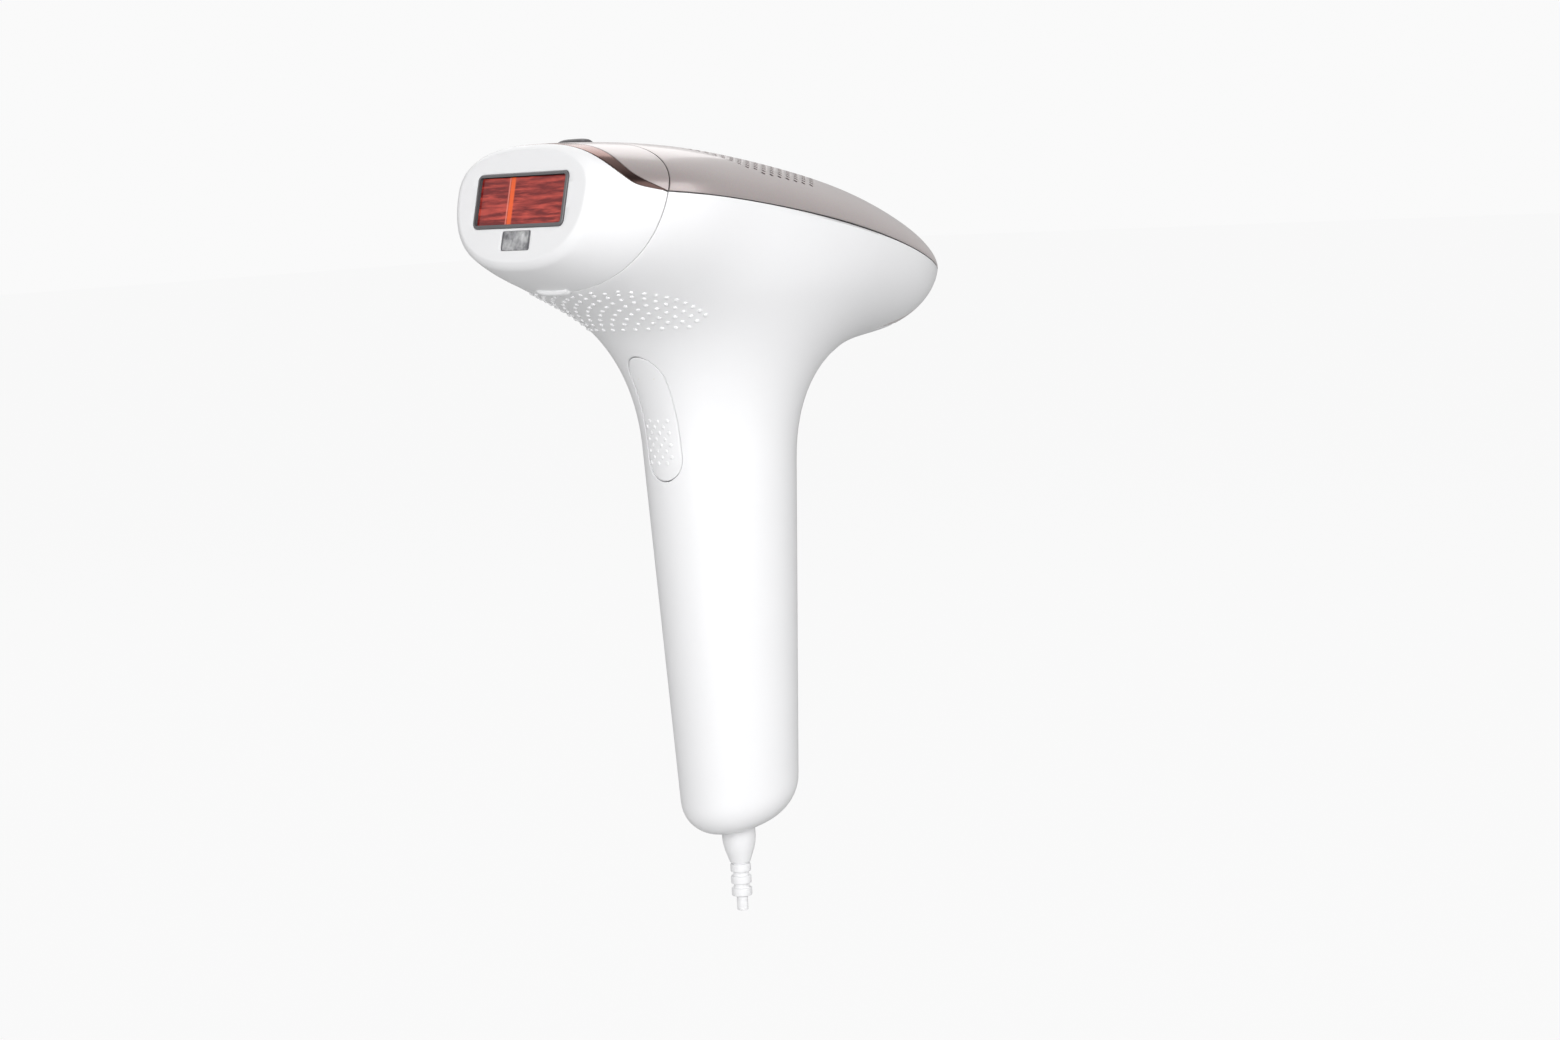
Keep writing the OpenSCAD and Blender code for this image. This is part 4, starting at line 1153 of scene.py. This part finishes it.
def band(name, from_s, to_s, thick, slot, rows=14):
    """A band of the attachment's upper skin between two edges."""
    share = np.linspace(0, 1, rows)[:, None]
    grid = from_head(oval(from_s[None, :] + (to_s - from_s)[None, :] * share, UPPER[None, :] + 0 * share))
    outward = grid - from_head(np.array([14.0, 0.0, SEAM_LEVEL - 6]))
    solid = rounded_shell(grid, grid_normals(grid, outward), lambda p, n: drawn_in(p, thick))
    new_piece(name + "_skin", solid, "attachment", slot)


def attachment_cover():
    start = np.minimum(trim_rear(UPPER) + BAND_GAP / 2, rim_at(UPPER) - 0.15)
    band("attachment_cover", start, rim_at(UPPER), 1.6, "pearl_cover")


def attachment_trim():
    end = np.minimum(trim_rear(UPPER) - BAND_GAP / 2, rim_at(UPPER) - 0.3)
    band("attachment_trim", trim_front(UPPER), end, 1.2, "bronze_trim")


FIT = 0.1
GLASS_S = 0.8
GLASS_THICK = 1.5
LIP = 0.5
FRAME_ROUND = 0.35
FRAME_DEEP = 3.4
FRAME_TURNS = (0, 22, 45, 68, 90)


def window_frame():
    """Moulded rim with a rounded front and a step that holds the filter glass."""
    profile = [(0.0, FRAME_DEEP)]
    profile += [(FRAME_ROUND * (1 - cos(a)), FRAME_ROUND * (1 - sin(a))) for a in FRAME_TURNS]
    profile += [(BEZEL - FRAME_ROUND * cos(a), FRAME_ROUND * (1 - sin(a))) for a in FRAME_TURNS[::-1]]
    step = GLASS_S + GLASS_THICK
    profile += [(BEZEL, step), (BEZEL + LIP, step), (BEZEL + LIP, FRAME_DEEP)]
    rings = [outline_ring(WINDOW_W - FIT, WINDOW_H - FIT, 1.55, inset, s) for inset, s in profile]
    new_piece("window_frame_skin", swept_ring(rings), "attachment", "frame_grey")


def pane(w, h, r, front, back, t=0.0, soft=0.18):
    """A flat pane with softened edges."""
    middle = 0.5 * min(w, h) - 0.3
    profile = [(middle, front), (soft + 0.15, front), (soft, front), (0.3 * soft, front + 0.3 * soft),
               (0, front + soft), (0, back - soft), (soft, back), (middle, back)]
    return tube([outline_ring(w, h, r, inset, s, t) for inset, s in profile])


def window_filter():
    w = WINDOW_W - 2 * BEZEL - FIT
    h = WINDOW_H - 2 * BEZEL - FIT
    solid = pane(w, h, 0.75, GLASS_S, GLASS_S + GLASS_THICK)
    new_piece("window_filter_glass", solid, "attachment", "amber_filter")


def sensor_window():
    solid = pane(SENSOR_W - FIT, SENSOR_H - FIT, 0.55, 0.4, 2.6, SENSOR_T)
    new_piece("sensor_window_pane", solid, "attachment", "sensor_grey")


TAB_FRONT = 14.2


def grip_tab(name, up, half, to_s, rise, slot):
    """A low pad that follows the head's section, with rounded sides."""
    rows, cols = 24, 40
    i = np.linspace(0, 1, rows)[:, None]
    j = np.linspace(0, 1, cols)[None, :]
    s = TAB_FRONT + (to_s - TAB_FRONT) * i + 0 * j
    y = half * (2 * j - 1) + 0 * i
    p = oval_power(s, up)
    k = (1 - (np.abs(y) / half_w(s)) ** p) ** (1 / p)
    foot = seam_t(s) + (half_up(s) * k if up else -half_down(s) * k)
    across = 1 - np.abs(2 * j - 1) ** 5
    along = 1 - np.abs(2 * i - 1) ** 3
    crest = rise * np.sqrt(np.maximum(across * along, 0))
    sign = 1 if up else -1
    outer = from_head(stack(s, y, foot + sign * crest))
    inner = from_head(stack(s, y, foot - sign * 0.25))
    new_piece(name + "_skin", closed_shell(outer, inner), "attachment", slot)


def rim_tabs():
    grip_tab("top_tab", True, 5.0, 17.5, 1.0, "dark_grip")
    grip_tab("bottom_tab", False, 5.7, 16.2, 1.0, "white_shell")


# ---------------------------------------------------------------- rear controls

PANEL_RISE = 6.15
LIGHT_DEPTH = 4.5
BUTTON_R = 4.0
LIGHT_R = 0.7
LIGHT_RING = 5.9
LIGHT_STEP = 32
NEAR_AXIS = 0.01

button_at = leave(np.array([HANDLE_X, 0.0, hub_height(0.0)]), direction(0.0, PANEL_RISE))
button_out = body_normal(button_at)
button_side = np.array([0.0, 1.0, 0.0])
button_down = np.cross(button_side, button_out)


def on_panel(local):
    """Points given as (down, side, out) from the button's centre."""
    local = np.asarray(local, float)
    return (button_at + local[..., :1] * button_down + local[..., 1:2] * button_side
            + local[..., 2:] * button_out)


def panel_solid(profile, down=0.0, side=0.0, sides=72):
    """A solid turned about a line square to the panel."""
    return turned(profile, on_panel((down, side, 0.0)), (button_down, button_side, button_out), sides)


def light_places():
    """The level lights in an arc above the button, and their tops on the panel's surface."""
    spots = [(-LIGHT_RING * cos(LIGHT_STEP * i), LIGHT_RING * sin(LIGHT_STEP * i)) for i in range(-2, 3)]
    foot = on_panel([(u, v, -LIGHT_DEPTH) for u, v in spots])
    return spots, foot, leave(foot, np.repeat(button_out[None, :], len(spots), 0), 0.0, 12.0)


def button_hole():
    r = BUTTON_R + 0.15
    return panel_solid([
        (NEAR_AXIS, -6), (r, -6), (r, -0.5), (r + 0.1, -0.2), (r + 0.35, 0.05), (r + 0.35, 3), (NEAR_AXIS, 3),
    ])


def light_holes():
    top = light_places()[2]
    return on_surface(top, hole(LIGHT_R + 0.05, -4.0, 1.0, flare=0.12), 24)


def power_button():
    """Silver cap with a shallow finger dish and a stem."""
    profile = [
        (NEAR_AXIS, -3.3), (1.5, -3.3), (1.5, -2.0), (BUTTON_R, -2.0), (BUTTON_R, 0.2),
        (BUTTON_R - 0.45, 0.5), (BUTTON_R - 1.2, 0.42), (BUTTON_R - 1.6, 0.3), (1.2, 0.24), (NEAR_AXIS, 0.22),
    ]
    new_piece("power_button_cap", panel_solid(soft_profile(profile, 0.2)), "power_key", "button_silver")


def level_lights():
    """Clear light rods that end flush with the panel."""
    spots, foot, top = light_places()
    rods = []
    for spot, lift in zip(spots, length(top - foot) - LIGHT_DEPTH):
        profile = [(NEAR_AXIS, -LIGHT_DEPTH), (LIGHT_R, -LIGHT_DEPTH), (LIGHT_R, lift - 0.12),
                   (NEAR_AXIS, lift - 0.02)]
        rods.append(panel_solid(soft_profile(profile, 0.15), *spot, 28))
    new_piece("level_lights_pipes", joined(rods), "handset", "light_pipe")


# ---------------------------------------------------------------- plug and cord

PLUG_R = 4.55
PLUG_TOP = -166.6
RIB_R = 2.75
NECK_R = 2.1
RIB_H = 2.2
RIBS = (-180.9, -184.2, -187.5)
PLUG_END = RIBS[-1] - RIB_H
CORD_R = 1.5
PLUG_ROUND = 0.3
CORD_ROUND = 0.2


def plug_solid(profile, soft):
    """A solid turned about the plug's upright axis, its corners softened."""
    return turned(soft_profile(profile, soft), np.array([SOCKET_X, 0.0, 0.0]), np.eye(3), 96)


def plug_body():
    """Smooth plug sleeve that narrows to a ribbed strain relief."""
    profile = [
        (NEAR_AXIS, PLUG_TOP), (PLUG_R, PLUG_TOP), (PLUG_R, -173.6), (PLUG_R - 0.15, -175.0),
        (PLUG_R - 0.55, -176.9), (RIB_R + 0.15, -180.0), (RIB_R, -180.5), (NECK_R, -180.6),
    ]
    for z in RIBS:
        profile += [(NECK_R, z), (RIB_R, z - 0.05), (RIB_R, z - RIB_H + 0.05), (NECK_R, z - RIB_H)]
    profile += [(NECK_R, PLUG_END), (NEAR_AXIS, PLUG_END)]
    new_piece("plug_body_sleeve", plug_solid(profile, PLUG_ROUND), "plug", "cord_white")


def cord():
    top = PLUG_END - 0.05
    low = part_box("cord")[0].z / MM
    profile = [(NEAR_AXIS, top), (CORD_R, top), (CORD_R, low), (NEAR_AXIS, low)]
    new_piece("cord_stub", plug_solid(profile, CORD_ROUND), "plug", "cord_white")


# ---------------------------------------------------------------- stage, light and camera

FLOOR_DROP = 0.06
FLOOR_REACH = 9.0
PAPER = 0.955
FLOOR_GLOW = 0.925
FLOOR_GREY = 0.5
SKY_HIGH = 0.64
SKY_LOW = 0.54


def seen_by_camera(tree, output, seen, unseen):
    """Shows one shader to the camera, and lets another shed its light on the object."""
    camera_ray = add_node(tree, "LightPath", {}).outputs["Is Camera Ray"]
    mix = add_node(tree, "MixShader", {"Fac": camera_ray, 1: unseen.outputs[0], 2: seen.outputs[0]})
    feed(tree, tree.nodes[output], {"Surface": mix.outputs["Shader"]})


def pale_floor():
    """An even, pale sheet below the object, which sheds only a soft grey light on it."""
    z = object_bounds()[0][2] - FLOOR_DROP
    corners = [(x * FLOOR_REACH, y * FLOOR_REACH, z) for x, y in ((-1, -1), (1, -1), (1, 1), (-1, 1))]
    mesh = bpy.data.meshes.new("floor")
    mesh.from_pydata(corners, [], [(0, 1, 2, 3)])
    obj = bpy.data.objects.new("floor", mesh)
    bpy.context.scene.collection.objects.link(obj)
    mat, tree, where = new_look("floor_paper")
    paper = mixed(tree, noise(tree, where, 60), (0.03, 0.03, 0.03), (0.032, 0.032, 0.032))
    faint = add_node(tree, "BsdfDiffuse", {"Color": paper})
    glow = add_node(tree, "Emission", {"Strength": FLOOR_GLOW})
    lit = add_node(tree, "AddShader", {0: faint.outputs["BSDF"], 1: glow.outputs["Emission"]})
    grey = add_node(tree, "BsdfDiffuse", {"Color": (FLOOR_GREY, FLOOR_GREY, FLOOR_GREY)})
    seen_by_camera(tree, "Material Output", lit, grey)
    mesh.materials.append(mat)


def studio_world():
    """An even pale wall for the camera, and a soft sky that is brighter overhead for the object."""
    world = bpy.data.worlds.new("studio")
    world.use_nodes = True
    tree = world.node_tree
    wall = tree.nodes["Background"]
    feed(tree, wall, {"Color": (PAPER, PAPER, PAPER)})
    height = axis_part(tree, add_node(tree, "TexCoord", {}).outputs["Generated"], "Z")
    glow = ranged(tree, height, -0.1, 0.7, SKY_LOW, SKY_HIGH, "SMOOTHSTEP")
    seen_by_camera(tree, "World Output", wall, add_node(tree, "Background", {"Strength": glow}))
    bpy.context.scene.world = world


def softbox(name, turn, height, distance, size, power):
    """A square soft light aimed at the middle of the object from a direction in degrees."""
    middle = Vector((0.07, 0.0, -0.06))
    away = Vector((float(sin(turn) * cos(height)), float(-cos(turn) * cos(height)), float(sin(height))))
    light = bpy.data.lights.new(name, "AREA")
    light.shape = "SQUARE"
    light.size = size
    light.energy = power
    obj = bpy.data.objects.new(name, light)
    obj.location = middle + away * distance
    obj.rotation_euler = away.to_track_quat("Z", "Y").to_euler()
    obj.visible_camera = False
    bpy.context.scene.collection.objects.link(obj)


# Camera: the direction it stands in and its roll in degrees, its distance from AIM along the view, and how
# far AIM lies to the left of and above the middle of the view
TURN = -46.423
HEIGHT = 6.302
ROLL = -3.136
VIEW_DISTANCE = 822.84
LENS = 70.853
SENSOR = 36
AIM = np.array([75.0, 0.0, -60.0])
AIM_LEFT = 10.1425
AIM_ABOVE = 28.6915


def aimed_camera():
    back = stack(sin(TURN) * cos(HEIGHT), -cos(TURN) * cos(HEIGHT), sin(HEIGHT))
    level_right = stack(cos(TURN), sin(TURN), 0.0)
    level_up = np.cross(back, level_right)
    right = cos(ROLL) * level_right + sin(ROLL) * level_up
    up = cos(ROLL) * level_up - sin(ROLL) * level_right
    eye = (AIM + back * VIEW_DISTANCE + right * AIM_LEFT - up * AIM_ABOVE) * MM
    camera = bpy.data.objects.new("camera", bpy.data.cameras.new("camera"))
    camera.data.sensor_width = SENSOR
    camera.data.lens = LENS
    camera.data.clip_end = 50
    axes = Matrix((right, up, back)).transposed().to_4x4()
    camera.matrix_world = Matrix.Translation(Vector(eye)) @ axes
    bpy.context.scene.collection.objects.link(camera)
    bpy.context.scene.camera = camera


# ---------------------------------------------------------------- build

SUB_PARTS = (
    dress_nodes, main_shell, rear_shell, control_panel, top_cover, trigger_button,
    attachment_shell, attachment_cover, attachment_trim, window_frame, window_filter, sensor_window,
    rim_tabs, power_button, level_lights, plug_body, cord,
)
for build in SUB_PARTS:
    build()

pale_floor()
studio_world()
softbox("key", -54, 9, 1.6, 1.0, 15.8)
softbox("side", 2, 14, 1.6, 1.0, 9)
softbox("front", -116, -6, 1.6, 1.0, 3.8)
softbox("back_top", 150, 42, 1.3, 1.1, 4)
bpy.context.scene.view_settings.view_transform = "Standard"
aimed_camera()
